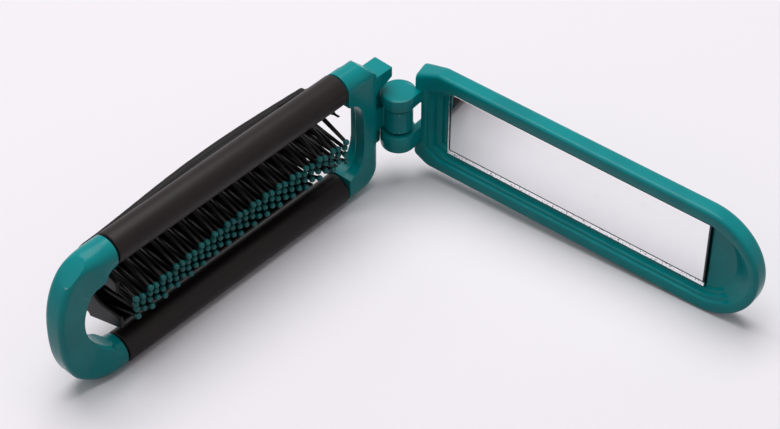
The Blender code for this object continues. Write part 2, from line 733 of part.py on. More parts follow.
def tray_cutter():
    """The dished space inside the lid's rim, down to its floor."""
    levels = [(lid_outline(RIM_LAND, RIM_FAR_LAND, RIM_HINGE_LAND_X), LID_FRONT - OVERRUN)]
    for across, down in RIM_PROFILE:
        inset, far_inset = RIM_LAND + RIM_SLOPE * across, RIM_FAR_LAND + RIM_FAR_SLOPE * across
        hinge_x = between(RIM_HINGE_LAND_X, RIM_HINGE_FLOOR_X, across)
        outline = lid_outline(inset, far_inset, hinge_x)
        levels.append((outline, LID_FRONT + FIELD_DEPTH * down))
    return loft([[(x, y, z) for x, z in outline] for outline, y in levels])


def make_lid_frame(lid, finish):
    """The lid's tray with its hinge discs."""
    outline = lid_outline(0.0, 0.0, LID_START)
    frame = part("mirror_frame", prism(outline, LID_FRONT, LID_BACK, "Y"), finish, lid)

    def radius_at(a, b):
        if abs(a.y - b.y) > MERGE:
            return 0.0
        at_hinge = max(a.x, b.x) < LID_START + MERGE
        if a.y < LID_FRONT + MERGE:
            return 0.0 if at_hinge else LID_FRONT_ROUND
        return 0.0 if at_hinge else LID_BACK_ROUND

    round_edges(frame, radius_at, ROUND_SEGMENTS - 1)
    combine(frame, tool("tray", tray_cutter(), lid), "DIFFERENCE")
    low_x, high_x = GLASS_X - GAP, GLASS_X + GLASS_LENGTH + GAP
    half = GLASS_WIDTH / 2 + GAP
    glass_back = LID_FRONT + GLASS_SETBACK + GLASS_THICK
    seat = glass_back + ADHESIVE_THICK + 2 * GAP
    pocket = box((low_x, LID_FRONT - OVERRUN, MIDDLE - half), (high_x, seat, MIDDLE + half))
    combine(frame, tool("glass_pocket", pocket, lid), "DIFFERENCE")

    for side, (base, top) in disc_ranges().items():
        arm = box((0.0, 0.0, base), (DISC_RADIUS, LID_FRONT + EMBED, top))
        combine(frame, tool(f"{side}_arm", arm, lid), "UNION")
        disc = cylinder(DISC_RADIUS, base, top, "Z", BARREL_SIDES)
        combine(frame, tool(f"{side}_disc", disc, lid), "UNION")
    low = (LID_START - OVERRUN, LID_FRONT - OVERRUN, LOWER_DISC_TOP)
    high = (WINDOW_X, LID_BACK + OVERRUN, DISC_TOP - UPPER_DISC)
    combine(frame, tool("knuckle_window", box(low, high), lid), "DIFFERENCE")
    bore = cylinder(PIN_BORE, DISC_BASE - OVERRUN, DISC_TOP - PIN_COVER, "Z", PIN_SIDES)
    combine(frame, tool("pin_bore", bore, lid), "DIFFERENCE")
    smooth(frame)


def make_hinge_pin(lid, finish):
    """The pin through the knuckle and both discs."""
    start, end = DISC_BASE + PIN_RECESS, DISC_TOP - PIN_COVER - GAP
    pin = part("hinge_pin", cylinder(PIN_RADIUS, start, end, "Z", PIN_SIDES), finish, lid)
    smooth(pin)


def make_mirror(lid, glass_finish, tape_finish):
    """The mirror glass and the adhesive pad that holds it."""
    front = LID_FRONT + GLASS_SETBACK
    back = front + GLASS_THICK
    half = GLASS_WIDTH / 2
    end = GLASS_X + GLASS_LENGTH
    glass = box((GLASS_X, front, MIDDLE - half), (end, back, MIDDLE + half))
    part("mirror_glass", glass, glass_finish, lid)
    low = (GLASS_X + ADHESIVE_INSET, back + GAP, MIDDLE - half + ADHESIVE_INSET)
    high = (end - ADHESIVE_INSET, back + GAP + ADHESIVE_THICK, MIDDLE + half - ADHESIVE_INSET)
    part("mirror_adhesive_pad", box(low, high), tape_finish, lid)


def rest_tilt():
    """How far the open brush leans until its lid's end comes down to the surface.

    It stands on the line below its lower rail and on the round end of its lid.
    """
    along, across = LID_END - LID_HALF, LID_BACK - LID_BACK_ROUND
    reach = along * sin(OPEN_ANGLE) - across * cos(OPEN_ANGLE) - RAIL_Y
    rise = RAIL_OFFSET
    drop = LID_HALF - SLEEVE_RADIUS
    return atan2(rise, reach) - asin(drop / hypot(reach, rise))


def centre_over_origin(root):
    """Move the whole brush so that its box stands centred over the origin."""
    bpy.context.view_layer.update()
    graph = bpy.context.evaluated_depsgraph_get()
    corners = []
    for thing in PARTS.objects:
        if thing.type == "MESH":
            evaluated = thing.evaluated_get(graph)
            corners += [thing.matrix_world @ vertex.co for vertex in evaluated.data.vertices]
    low = [min(corner[i] for corner in corners) for i in range(3)]
    high = [max(corner[i] for corner in corners) for i in range(3)]
    root.location = (-(low[0] + high[0]) / 2, -(low[1] + high[1]) / 2, -low[2])


clear_scene()
PARTS = new_collection("folding_pocket_hairbrush")
TOOLS = new_collection("cutters")

teal = material("teal_plastic", (0.010, 0.230, 0.200), 0.35)
soft_black = material("soft_black_sleeve", (0.022, 0.018, 0.017), 0.55)
black = material("black_plate_plastic", (0.012, 0.011, 0.012), 0.40)
nylon = material("black_pin_nylon", (0.010, 0.009, 0.010), 0.35)
mirror = material("silvered_glass", (0.850, 0.860, 0.870), 0.02, 1.0)
tape = material("adhesive_foam", (0.600, 0.600, 0.580), 0.80)
steel = material("steel", (0.560, 0.560, 0.560), 0.30, 1.0)

hinge = new_empty("hinge_axis", (0.0, 0.0, 0.0), 0.0)
brush_half = new_empty("brush_half", (0.0, 0.0, 0.0), pi, hinge)
lid_half = new_empty("lid_half", (0.0, 0.0, 0.0), pi + OPEN_ANGLE, hinge)
hinge.rotation_euler.x = rest_tilt()
plate_slide = new_empty("plate_slide", (0.0, 0.0, 0.0), 0.0, brush_half)

make_hinge_cap(brush_half, teal)
make_far_cap(brush_half, teal)
make_sleeves(brush_half, soft_black)
make_bristle_plate(plate_slide, black)
make_bristle_pad(plate_slide, nylon)
make_lid_frame(lid_half, teal)
make_hinge_pin(lid_half, steel)
make_mirror(lid_half, mirror, tape)
centre_over_origin(hinge)
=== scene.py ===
"""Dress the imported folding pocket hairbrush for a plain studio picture.

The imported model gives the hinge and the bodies. Each visible piece is built again here
with finer shapes and its finish, in the half frame of its half: +X runs out from the
hinge axis, +Z is up along it, -Y is the brush side and +Y the lid side when shut.
Sizes are in millimetres there, and each mesh is moved into the row frame in metres.
"""

import json
import logging
import math
import random
from dataclasses import dataclass, field
from enum import Enum
from typing import Any, Callable, Iterable, Optional, Sequence

import bmesh
import bpy
from mathutils import Matrix, Vector

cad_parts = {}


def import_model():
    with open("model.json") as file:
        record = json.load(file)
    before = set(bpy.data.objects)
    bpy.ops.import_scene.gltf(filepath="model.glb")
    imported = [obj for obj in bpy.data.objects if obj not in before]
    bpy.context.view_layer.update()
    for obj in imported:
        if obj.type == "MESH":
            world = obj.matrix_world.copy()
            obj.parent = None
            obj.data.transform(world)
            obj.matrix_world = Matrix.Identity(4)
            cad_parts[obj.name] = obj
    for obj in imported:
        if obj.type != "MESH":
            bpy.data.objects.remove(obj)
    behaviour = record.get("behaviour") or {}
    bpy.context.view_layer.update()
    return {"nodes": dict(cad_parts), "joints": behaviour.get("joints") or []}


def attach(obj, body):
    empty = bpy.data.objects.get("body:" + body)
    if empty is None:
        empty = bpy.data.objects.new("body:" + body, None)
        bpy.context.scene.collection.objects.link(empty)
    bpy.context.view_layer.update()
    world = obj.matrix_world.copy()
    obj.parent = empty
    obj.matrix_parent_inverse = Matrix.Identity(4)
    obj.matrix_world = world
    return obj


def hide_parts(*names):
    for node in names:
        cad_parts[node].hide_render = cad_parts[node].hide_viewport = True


LOG = logging.getLogger("hairbrush")
MILLIMETRE = 0.001
OPEN_ANGLE = 94.55

Point2 = tuple[float, float]
Point3 = tuple[float, float, float]
Colour = tuple[float, float, float]


class Half(Enum):
    """The two halves, each with its turn about the hinge axis in degrees.

    The lid stands open from the brush by the photographed angle.
    """

    BRUSH = 180.0
    LID = 180.0 + OPEN_ANGLE


class Body(Enum):
    """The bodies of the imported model."""

    FRAME = "brush_frame"
    CARRIAGE = "bristle_carriage"
    LID = "mirror_lid"


class Along(Enum):
    """The axis that an outline is drawn out along."""

    X = "X"
    Y = "Y"
    Z = "Z"


class Carve(Enum):
    """How a second shape works on the first."""

    CUT = "DIFFERENCE"
    JOIN = "UNION"
    KEEP = "INTERSECT"


@dataclass(frozen=True)
class HingeFrame:
    """Where the hinge axis stands in the row frame.

    Attributes:
        origin: Foot of the hinge axis, in metres.
        lean: How far the axis leans about X, in radians.
    """

    origin: Vector
    lean: float

    @classmethod
    def from_joints(cls, joints: Sequence[dict]) -> "HingeFrame":
        """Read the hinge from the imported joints.

        Args:
            joints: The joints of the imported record.

        Returns:
            The frame that the halves hang from.
        """
        hinge = next(joint for joint in joints if joint["type"] == "hinge")
        axis = hinge["axis"]
        return cls(Vector(hinge["pos_m"]), math.atan2(-axis[1], axis[2]))

    def place(self) -> Matrix:
        """Return the matrix from the upright hinge frame to the row frame."""
        return Matrix.Translation(self.origin) @ Matrix.Rotation(self.lean, 4, "X")

    def matrix(self, half: Half) -> Matrix:
        """Return the matrix from a half's millimetres to the row frame.

        Args:
            half: The half that a piece belongs to.

        Returns:
            The matrix to apply to a mesh of that half.
        """
        turn = Matrix.Rotation(math.radians(half.value), 4, "Z")
        return self.place() @ turn @ Matrix.Scale(MILLIMETRE, 4)


class Value:
    """A shader socket that takes part in ordinary Python sums."""

    def __init__(self, tree: "ShaderTree", socket: bpy.types.NodeSocket) -> None:
        """Wrap a socket.

        Args:
            tree: The tree that the socket is in.
            socket: The output socket.
        """
        self.tree = tree
        self.socket = socket

    def _math(self, operation: str, *terms: Any) -> "Value":
        """Add a Math node that works on the terms in order."""
        return self.tree.node("ShaderNodeMath", {"operation": operation}, dict(enumerate(terms)))

    def __add__(self, other: Any) -> "Value":
        """Return self + other."""
        return self._math("ADD", self, other)

    __radd__ = __add__

    def __mul__(self, other: Any) -> "Value":
        """Return self * other."""
        return self._math("MULTIPLY", self, other)

    __rmul__ = __mul__

    def __sub__(self, other: Any) -> "Value":
        """Return self - other."""
        return self._math("SUBTRACT", self, other)

    def __rsub__(self, other: Any) -> "Value":
        """Return other - self."""
        return self._math("SUBTRACT", other, self)

    def ramp(self, low: float, high: float) -> "Value":
        """Return 0 below low and 1 above high, with a soft rise between them.

        Args:
            low: Where the rise starts.
            high: Where the rise ends.

        Returns:
            The softened mask.
        """
        sockets = {"Value": self, "From Min": low, "From Max": high}
        return self.tree.node("ShaderNodeMapRange", {"interpolation_type": "SMOOTHSTEP"}, sockets)

    def either(self, other: "Value") -> "Value":
        """Return the larger of two values."""
        return self._math("MAXIMUM", self, other)


class ShaderTree:
    """The nodes of a material or world, added by type with their settings and sockets."""

    def __init__(self, owner: Any, shader: str) -> None:
        """Open the nodes of a material or world.

        Args:
            owner: The material or world.
            shader: The name of its shader node.
        """
        owner.use_nodes = True
        self.owner = owner
        self.tree = owner.node_tree
        self.shader = self.tree.nodes[shader]

    @classmethod
    def material(cls, name: str) -> "ShaderTree":
        """Start a new material.

        Args:
            name: The material's name.

        Returns:
            Its nodes.
        """
        return cls(bpy.data.materials.new(name), "Principled BSDF")

    def node(self, kind: str, settings: dict, sockets: dict, output: Any = 0) -> Value:
        """Add a node.

        Args:
            kind: The node's type.
            settings: Its settings, which are set before its sockets.
            sockets: Values or links of its input sockets.
            output: The output to return.

        Returns:
            The wrapped output.
        """
        made = self.tree.nodes.new(kind)
        for name, value in settings.items():
            setattr(made, name, value)
        for name, value in sockets.items():
            self.feed(made.inputs[name], value)
        return Value(self, made.outputs[output])

    def feed(self, socket: bpy.types.NodeSocket, value: Any) -> None:
        """Set a socket or link it.

        Args:
            socket: The input socket.
            value: A wrapped output, a number or a tuple.
        """
        if isinstance(value, Value):
            self.tree.links.new(value.socket, socket)
        else:
            socket.default_value = value

    def place(self) -> Value:
        """Read the place on the object.

        Returns:
            It in millimetres.
        """
        where = self.node("ShaderNodeTexCoord", {}, {}, "Object")
        sockets = {0: where, "Scale": 1.0 / MILLIMETRE}
        return self.node("ShaderNodeVectorMath", {"operation": "SCALE"}, sockets)

    def noise(self, scale: float, detail: float) -> Value:
        """Return noise with a feature size in millimetres.

        Args:
            scale: The size of its features.
            detail: How many finer layers it has.

        Returns:
            The noise, about 0.5 on average.
        """
        sockets = {"Vector": self.place(), "Scale": 1.0 / scale, "Detail": detail}
        return self.node("ShaderNodeTexNoise", {}, sockets, "Fac")

    def blend(self, mask: Value, low: Any, high: Any) -> Value:
        """Mix two colours by a mask.

        Args:
            mask: Where the second colour shows.
            low: The first colour, as three numbers or a wrapped one.
            high: The second colour, likewise.

        Returns:
            The mixed colour.
        """
        ends = [colour if isinstance(colour, Value) else (*colour, 1.0) for colour in (low, high)]
        return self.node("ShaderNodeMix", {"data_type": "RGBA"}, {0: mask, 6: ends[0], 7: ends[1]}, 2)

    def bump(self, height: Value, depth: float) -> None:
        """Feed a bump into the shader's normal.

        Args:
            height: The height, from 0 to 1.
            depth: What a height of 1 stands for, in millimetres.
        """
        sockets = {"Height": height, "Distance": depth * MILLIMETRE, "Strength": 1.0}
        self.feed(self.shader.inputs["Normal"], self.node("ShaderNodeBump", {}, sockets, "Normal"))


def tint(red: int, green: int, blue: int) -> Colour:
    """Turn a colour as seen on a screen into the linear one of a shader.

    Args:
        red: Its red, from 0 to 255.
        green: Its green.
        blue: Its blue.

    Returns:
        The linear colour.
    """

    def straighten(level: int) -> float:
        """Undo the screen's curve for one channel."""
        share = level / 255
        return share / 12.92 if share <= 0.04045 else ((share + 0.055) / 1.055) ** 2.4

    return straighten(red), straighten(green), straighten(blue)


@dataclass(frozen=True)
class Patches:
    """Soft patches of noise that mark a surface.

    Attributes:
        size: The size of their features in millimetres.
        detail: How many finer layers they have.
        low: The noise at which a patch starts.
        high: The noise at which it is full.
    """

    size: float
    detail: float
    low: float
    high: float

    def mask(self, tree: ShaderTree) -> Value:
        """Return the patches as a mask from 0 to 1."""
        return tree.noise(self.size, self.detail).ramp(self.low, self.high)


@dataclass(frozen=True)
class MouldedPlastic:
    """Injection-moulded plastic with faint flow marks, a fine texture and a painted highlight on its
    sharp edges.

    Attributes:
        name: The material's name.
        colour: Its main colour.
        deep: The colour of its deeper, thicker patches.
        roughness: Its mean roughness.
        grain: Depth of its surface texture in millimetres.
        specular: Its specular level.
        edge_highlight: How strongly a painted highlight lightens its sharp edges.
        highlight_from: How pointed an edge is where the painted highlight starts.
        highlight_to: How pointed it is where the painted highlight is full.
        pale_share: The share of the colour that a highlighted edge keeps.
        pale_lift: How much paler it gets.
        flow: The flow marks.
        handled: The patches that hands have dulled.
        grain_size: The size of the texture's features in millimetres.
        uneven: How much the texture and the handling vary the roughness.
    """

    name: str
    colour: Colour
    deep: Colour
    roughness: float
    grain: float = 0.0015
    specular: float = 0.5
    edge_highlight: float = 0.0
    highlight_from: float = 0.535
    highlight_to: float = 0.60
    pale_share: float = 0.55
    pale_lift: float = 0.30
    flow: Patches = Patches(9.0, 2.0, 0.30, 0.70)
    handled: Patches = Patches(5.0, 3.0, 0.35, 0.75)
    grain_size: float = 0.8
    uneven: Point2 = (0.03, 0.05)

    @property
    def pale(self) -> Colour:
        """Return the colour of the painted edge highlight."""
        red, green, blue = (self.pale_share * channel + self.pale_lift for channel in self.colour)
        return red, green, blue

    def make(self) -> bpy.types.Material:
        """Build the material.

        Returns:
            The finished material.
        """
        tree = ShaderTree.material(self.name)
        plain = tree.blend(self.flow.mask(tree), self.deep, self.colour)
        # Painted highlight: sharp edges, found by their pointiness, are lightened towards the pale
        # colour.
        if self.edge_highlight:
            pointed = tree.node("ShaderNodeNewGeometry", {}, {}, "Pointiness")
            highlight_mask = pointed.ramp(self.highlight_from, self.highlight_to)
            plain = tree.blend(highlight_mask * self.edge_highlight, plain, self.pale)
        tree.feed(tree.shader.inputs["Base Color"], plain)
        fine = tree.noise(self.grain_size, 1.0)
        handled = self.handled.mask(tree)
        uneven = fine * self.uneven[0] + handled * self.uneven[1]
        mean = sum(self.uneven) / 2
        tree.feed(tree.shader.inputs["Roughness"], uneven + (self.roughness - mean))
        tree.bump(fine, self.grain)
        tree.shader.inputs["Specular IOR Level"].default_value = self.specular
        return tree.owner


@dataclass(frozen=True)
class SoftSleeve:
    """Soft-touch sleeve: a dark satin skin with a faint dusty sheen.

    Attributes:
        name: The material's name.
        colour: Its main colour.
        dusty: The paler colour of handled patches.
        roughness: Its mean roughness.
        specular: Its specular level.
        handled: Where it has been handled.
        grain: Depth of its surface texture in millimetres.
        grain_size: The size of the texture's features in millimetres.
        uneven: How much the texture varies the roughness.
    """

    name: str
    colour: Colour
    dusty: Colour
    roughness: float
    specular: float
    handled: Patches = Patches(6.0, 4.0, 0.35, 0.80)
    grain: float = 0.002
    grain_size: float = 0.35
    uneven: float = 0.08

    def make(self) -> bpy.types.Material:
        """Build the material.

        Returns:
            The finished material.
        """
        tree = ShaderTree.material(self.name)
        shade = tree.blend(self.handled.mask(tree), self.colour, self.dusty)
        tree.feed(tree.shader.inputs["Base Color"], shade)
        fine = tree.noise(self.grain_size, 2.0)
        mean = self.uneven / 2
        tree.feed(tree.shader.inputs["Roughness"], fine * self.uneven + (self.roughness - mean))
        tree.bump(fine, self.grain)
        tree.shader.inputs["Specular IOR Level"].default_value = self.specular
        return tree.owner


@dataclass(frozen=True)
class Silvering:
    """Silvered glass, seen as a mirror with a trace of dust.

    Attributes:
        name: The material's name.
        colour: The tint of what it reflects.
        dust: Where dust lies.
        roughness: The roughness of clean glass.
        haze: How much rougher the dust makes it.
        dimming: The share of the tint that shows through the dust.
    """

    name: str
    colour: Colour
    dust: Patches = Patches(3.0, 5.0, 0.55, 0.85)
    roughness: float = 0.015
    haze: float = 0.03
    dimming: float = 0.97

    def make(self) -> bpy.types.Material:
        """Build the material.

        Returns:
            The finished material.
        """
        tree = ShaderTree.material(self.name)
        dust = self.dust.mask(tree)
        tree.feed(tree.shader.inputs["Roughness"], dust * self.haze + self.roughness)
        dimmed = tuple(channel * self.dimming for channel in self.colour)
        tree.feed(tree.shader.inputs["Base Color"], tree.blend(dust, self.colour, dimmed))
        tree.shader.inputs["Metallic"].default_value = 1.0
        return tree.owner


@dataclass(frozen=True)
class GroundEdge:
    """The ground bevel of the glass: bright, with fine dark nicks.

    Attributes:
        name: The material's name.
        colour: The colour of the bright ground glass.
        nick: The colour of the nicks.
        nicks: Where the nicks are.
        roughness: The roughness between the nicks.
        nick_roughness: How much rougher the nicks are.
        grain: Depth of its surface texture in millimetres.
        grain_size: The size of the texture's features in millimetres.
    """

    name: str
    colour: Colour
    nick: Colour
    nicks: Patches = Patches(0.45, 2.0, 0.55, 0.68)
    roughness: float = 0.14
    nick_roughness: float = 0.20
    grain: float = 0.003
    grain_size: float = 0.5

    def make(self) -> bpy.types.Material:
        """Build the material.

        Returns:
            The finished material.
        """
        tree = ShaderTree.material(self.name)
        nicks = self.nicks.mask(tree)
        tree.feed(tree.shader.inputs["Base Color"], tree.blend(nicks, self.colour, self.nick))
        tree.feed(tree.shader.inputs["Roughness"], nicks * self.nick_roughness + self.roughness)
        tree.shader.inputs["Metallic"].default_value = 1.0
        tree.bump(tree.noise(self.grain_size, 2.0), self.grain)
        return tree.owner


@dataclass
class Finishes:
    """Every finish of the brush, made once."""

    teal: bpy.types.Material = field(init=False)
    tip: bpy.types.Material = field(init=False)
    sleeve: bpy.types.Material = field(init=False)
    plate: bpy.types.Material = field(init=False)
    nylon: bpy.types.Material = field(init=False)
    mirror: bpy.types.Material = field(init=False)
    edge: bpy.types.Material = field(init=False)
    ground: bpy.types.Material = field(init=False)
    steel: bpy.types.Material = field(init=False)
    tape: bpy.types.Material = field(init=False)

    def __post_init__(self) -> None:
        """Build the materials."""
        self.teal = MouldedPlastic(
            "teal_plastic", tint(2, 143, 146), tint(2, 134, 138), 0.24, specular=0.17, edge_highlight=0.45
        ).make()
        self.tip = MouldedPlastic(
            "teal_tip", tint(4, 104, 104), tint(4, 92, 93), 0.30, specular=0.3
        ).make()
        self.sleeve = SoftSleeve(
            "soft_black_sleeve", tint(27, 20, 21), tint(33, 25, 24), 0.44, specular=0.2
        ).make()
        self.plate = MouldedPlastic(
            "black_plate_plastic", tint(19, 15, 15), tint(15, 12, 13), 0.42, specular=0.18
        ).make()
        self.nylon = MouldedPlastic(
            "black_pin_nylon", tint(17, 13, 14), tint(12, 9, 10), 0.34, specular=0.2
        ).make()
        self.mirror = Silvering("silvered_glass", (0.89, 0.89, 0.90)).make()
        self.edge = MouldedPlastic("glass_cut_edge", tint(12, 18, 34), tint(9, 15, 28), 0.25).make()
        self.ground = GroundEdge("ground_glass_edge", (0.99, 0.99, 1.00), (0.26, 0.30, 0.30)).make()
        self.steel = MouldedPlastic("steel", (0.56, 0.56, 0.56), (0.50, 0.50, 0.50), 0.30).make()
        self.tape = MouldedPlastic("adhesive_foam", (0.60, 0.60, 0.58), (0.55, 0.55, 0.53), 0.80).make()


def arc(centre: Point2, size: Point2, start: float, end: float, steps: int) -> list[Point2]:
    """Return points along part of an ellipse, with its ends.

    Args:
        centre: Its centre.
        size: Its two half axes.
        start: Start angle in radians.
        end: End angle in radians.
        steps: How many steps it takes.

    Returns:
        The points in order.
    """
    angles = [start + (end - start) * i / steps for i in range(steps + 1)]
    return [(centre[0] + size[0] * math.cos(a), centre[1] + size[1] * math.sin(a)) for a in angles]


def loft(rings: Sequence[Sequence[Sequence[float]]], endless: bool = False) -> bmesh.types.BMesh:
    """Join rings of points into a closed surface.

    Args:
        rings: Rings of equal counts of points.
        endless: Whether the last ring joins the first, so that it needs no ends.

    Returns:
        The surface.
    """
    bm = bmesh.new()
    loops = [[bm.verts.new(point) for point in ring] for ring in rings]
    pairs = list(zip(loops, loops[1:]))
    if endless:
        pairs.append((loops[-1], loops[0]))
    for lower, upper in pairs:
        for i, corner in enumerate(lower):
            j = (i + 1) % len(lower)
            bm.faces.new((corner, lower[j], upper[j], upper[i]))
    if not endless:
        bm.faces.new(loops[0])
        bm.faces.new(loops[-1])
    bm.normal_update()
    bmesh.ops.recalc_face_normals(bm, faces=bm.faces)
    return bm


def prism(outline: Sequence[Point2], low: float, high: float, along: Along) -> bmesh.types.BMesh:
    """Draw a flat outline out along an axis.

    Args:
        outline: Its points: (y, z) along X, (x, z) along Y and (x, y) along Z.
        low: Where it starts.
        high: Where it ends.
        along: The axis.

    Returns:
        The closed solid.
    """
    place: dict[Along, Callable[[Point2, float], Point3]] = {
        Along.X: lambda p, d: (d, p[0], p[1]),
        Along.Y: lambda p, d: (p[0], d, p[1]),
        Along.Z: lambda p, d: (p[0], p[1], d),
    }
    return loft([[place[along](point, depth) for point in outline] for depth in (low, high)])


def block(low: Sequence[float], high: Sequence[float]) -> bmesh.types.BMesh:
    """Return a block between two corners."""
    outline = [(low[0], low[1]), (high[0], low[1]), (high[0], high[1]), (low[0], high[1])]
    return prism(outline, low[2], high[2], Along.Z)


def turned(
    profile: Sequence[Point2], along: Along, centre: Point2, sides: int, endless: bool = False
) -> bmesh.types.BMesh:
    """Turn a profile about an axis.

    Args:
        profile: Its points as (radius, place along the axis).
        along: The axis, X or Z.
        centre: Where the axis stands: (y, z) for X and (x, y) for Z.
        sides: How many sides a ring has.
        endless: Whether the profile closes on itself, as a tube's does.

    Returns:
        The closed solid.
    """
    rings = []
    for radius, depth in profile:
        ring = arc(centre, (radius, radius), 0.0, math.tau, sides)[:-1]
        rings.append([(depth, u, v) if along is Along.X else (u, v, depth) for u, v in ring])
    return loft(rings, endless)


def as_mesh(bm: bmesh.types.BMesh, name: str) -> bpy.types.Mesh:
    """Turn a shape into a mesh, and free the shape.

    Args:
        bm: The shape.
        name: The mesh's name.

    Returns:
        The mesh.
    """
    mesh = bpy.data.meshes.new(name)
    bm.to_mesh(mesh)
    bm.free()
    return mesh


def stand(name: str, data: bpy.types.ID) -> bpy.types.Object:
    """Add an object to the scene.

    Args:
        name: Its name.
        data: Its mesh, light or camera.

    Returns:
        The object.
    """
    made = bpy.data.objects.new(name, data)
    bpy.context.scene.collection.objects.link(made)
    return made


@dataclass
class Workshop:
    """Turns shapes into finished pieces on their bodies.

    Attributes:
        hinge: Where the hinge stands.
        count: How many pieces have been made.
    """

    hinge: HingeFrame
    count: int = 0

    @staticmethod
    def bench(bm: bmesh.types.BMesh) -> bpy.types.Object:
        """Put a shape on the bench as a plain object."""
        return stand("bench", as_mesh(bm, "bench"))

    @staticmethod
    def settle(thing: bpy.types.Object) -> bpy.types.Mesh:
        """Apply an object's modifiers, and clear the object away.

        Args:
            thing: The object.

        Returns:
            Its finished mesh.
        """
        bpy.context.view_layer.update()
        ready = thing.evaluated_get(bpy.context.evaluated_depsgraph_get())
        mesh = bpy.data.meshes.new_from_object(ready)
        bpy.data.objects.remove(thing, do_unlink=True)
        return mesh

    def carve(
        self, base: bmesh.types.BMesh, steps: Iterable[tuple[Carve, bmesh.types.BMesh]]
    ) -> bpy.types.Object:
        """Work on a shape with others, one after another.

        Args:
            base: The shape to start from.
            steps: How each further shape works on it.

        Returns:
            The carved shape as an object.
        """
        thing = self.bench(base)
        helpers = []
        for how, shape in steps:
            helper = self.bench(shape)
            helpers.append(helper)
            work = thing.modifiers.new("carve", "BOOLEAN")
            work.operation = how.value
            work.solver = "EXACT"
            work.object = helper
        mesh = self.settle(thing)
        for helper in helpers:
            bpy.data.objects.remove(helper, do_unlink=True)
        return stand("carved", mesh)

    def soften(self, thing: bpy.types.Object, grain: float, passes: int) -> bpy.types.Mesh:
        """Ease every edge of a carved shape, as a mould does.

        Args:
            thing: The carved shape.
            grain: The size of the new surface's faces in millimetres.
            passes: How many times it is smoothed.

        Returns:
            The eased mesh.
        """
        remesh = thing.modifiers.new("even", "REMESH")
        remesh.mode = "VOXEL"
        remesh.voxel_size = grain
        ease = thing.modifiers.new("ease", "SMOOTH")
        ease.factor = 0.5
        ease.iterations = passes
        return self.settle(thing)

    def finish(
        self,
        name: str,
        shape: "bpy.types.Mesh | bmesh.types.BMesh",
        half: Half,
        body: Body,
        nodes: Sequence[str],
        material: bpy.types.Material,
        crease: Optional[float] = 35.0,
    ) -> bpy.types.Object:
        """Put a shape in its place, dress it and let it ride on its body.

        Args:
            name: The piece's name.
            shape: Its mesh or bmesh, in the half's millimetres.
            half: The half that it belongs to.
            body: The body that it rides on.
            nodes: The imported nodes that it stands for.
            material: Its finish.
            crease: The angle above which an edge stays sharp, in degrees.

        Returns:
            The piece.
        """
        mesh = as_mesh(shape, name) if isinstance(shape, bmesh.types.BMesh) else shape
        mesh.name = name
        mesh.transform(self.hinge.matrix(half))
        mesh.materials.clear()
        mesh.materials.append(material)
        mesh.shade_smooth()
        if crease is not None:
            mesh.set_sharp_from_angle(angle=math.radians(crease))
        made = stand(name, mesh)
        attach(made, body.value)
        if nodes:
            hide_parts(*nodes)
        self.count += 1
        LOG.info("%s: %d faces on %s", name, len(mesh.polygons), body.value)
        return made


@dataclass
class BrushSizes:
    """Sizes that several pieces of the brush half share, in millimetres.

    Attributes:
        middle: The height of its middle line.
        rail_radius: The radius of a sleeve.
        rail_offset: How far each rail's axis is from the middle line.
        rail_y: Where the rails' axes lie in y.
        stub_radius: The radius of the caps' stubs.
        sleeve_start: The middle of the seam between the sleeves and the hinge cap.
        sleeve_end: The same at the far cap.
        opening_half: Half the height of the opening in the hinge cap.
        opening_arc_x: Where the curve of that opening starts.
        seam: Half the gap between a sleeve and a cap.
    """

    middle: float = 18.85
    rail_radius: float = 3.85
    rail_offset: float = 15.0
    rail_y: float = -4.85
    stub_radius: float = 3.75
    sleeve_start: float = 15.4
    sleeve_end: float = 84.8
    opening_half: float = 11.25
    opening_arc_x: float = 18.0
    seam: float = 0.15

    @property
    def front(self) -> float:
        """Return the front of the stubs."""
        return self.rail_y + self.stub_radius

    @property
    def back(self) -> float:
        """Return the back of the stubs."""
        return self.rail_y - self.stub_radius

    @property
    def half(self) -> float:
        """Return how far the caps reach from the middle."""
        return self.rail_offset + self.stub_radius


@dataclass
class RailSleeves:
    """The two soft sleeves that make the side rails.

    Attributes:
        shared: The sizes of the brush half.
        bore: The radius of the hole for the core rod.
        lip: The rounding at each end.
        lip_steps: How many steps a rounding takes.
        sides: How many sides a ring has.
    """

    shared: BrushSizes
    bore: float = 2.95
    lip: float = 0.45
    lip_steps: int = 5
    sides: int = 96

    def profile(self) -> list[Point2]:
        """Draw the sleeve's section, from bore to bore, with rounded lips.

        Returns:
            Its points as (radius, place along the rail).
        """
        low = self.shared.sleeve_start + self.shared.seam
        high = self.shared.sleeve_end - self.shared.seam
        rim = self.shared.rail_radius - self.lip
        near = arc((low + self.lip, rim), (self.lip, self.lip), math.pi, math.pi / 2, self.lip_steps)
        far = arc((high - self.lip, rim), (self.lip, self.lip), math.pi / 2, 0.0, self.lip_steps)
        points = [(low, self.bore), *near, *far, (high, self.bore)]
        return [(radius, depth) for depth, radius in points]

    def build(self, shop: Workshop, finishes: Finishes) -> None:
        """Build both sleeves.

        Args:
            shop: The workshop.
            finishes: The finishes.
        """
        for side, sign in (("lower", -1.0), ("upper", 1.0)):
            centre = (self.shared.rail_y, self.shared.middle + sign * self.shared.rail_offset)
            shop.finish(
                f"{side}_sleeve_skin",
                turned(self.profile(), Along.X, centre, self.sides, endless=True),
                Half.BRUSH,
                Body.FRAME,
                (f"{side}_rail_sleeve",),
                finishes.sleeve,
            )


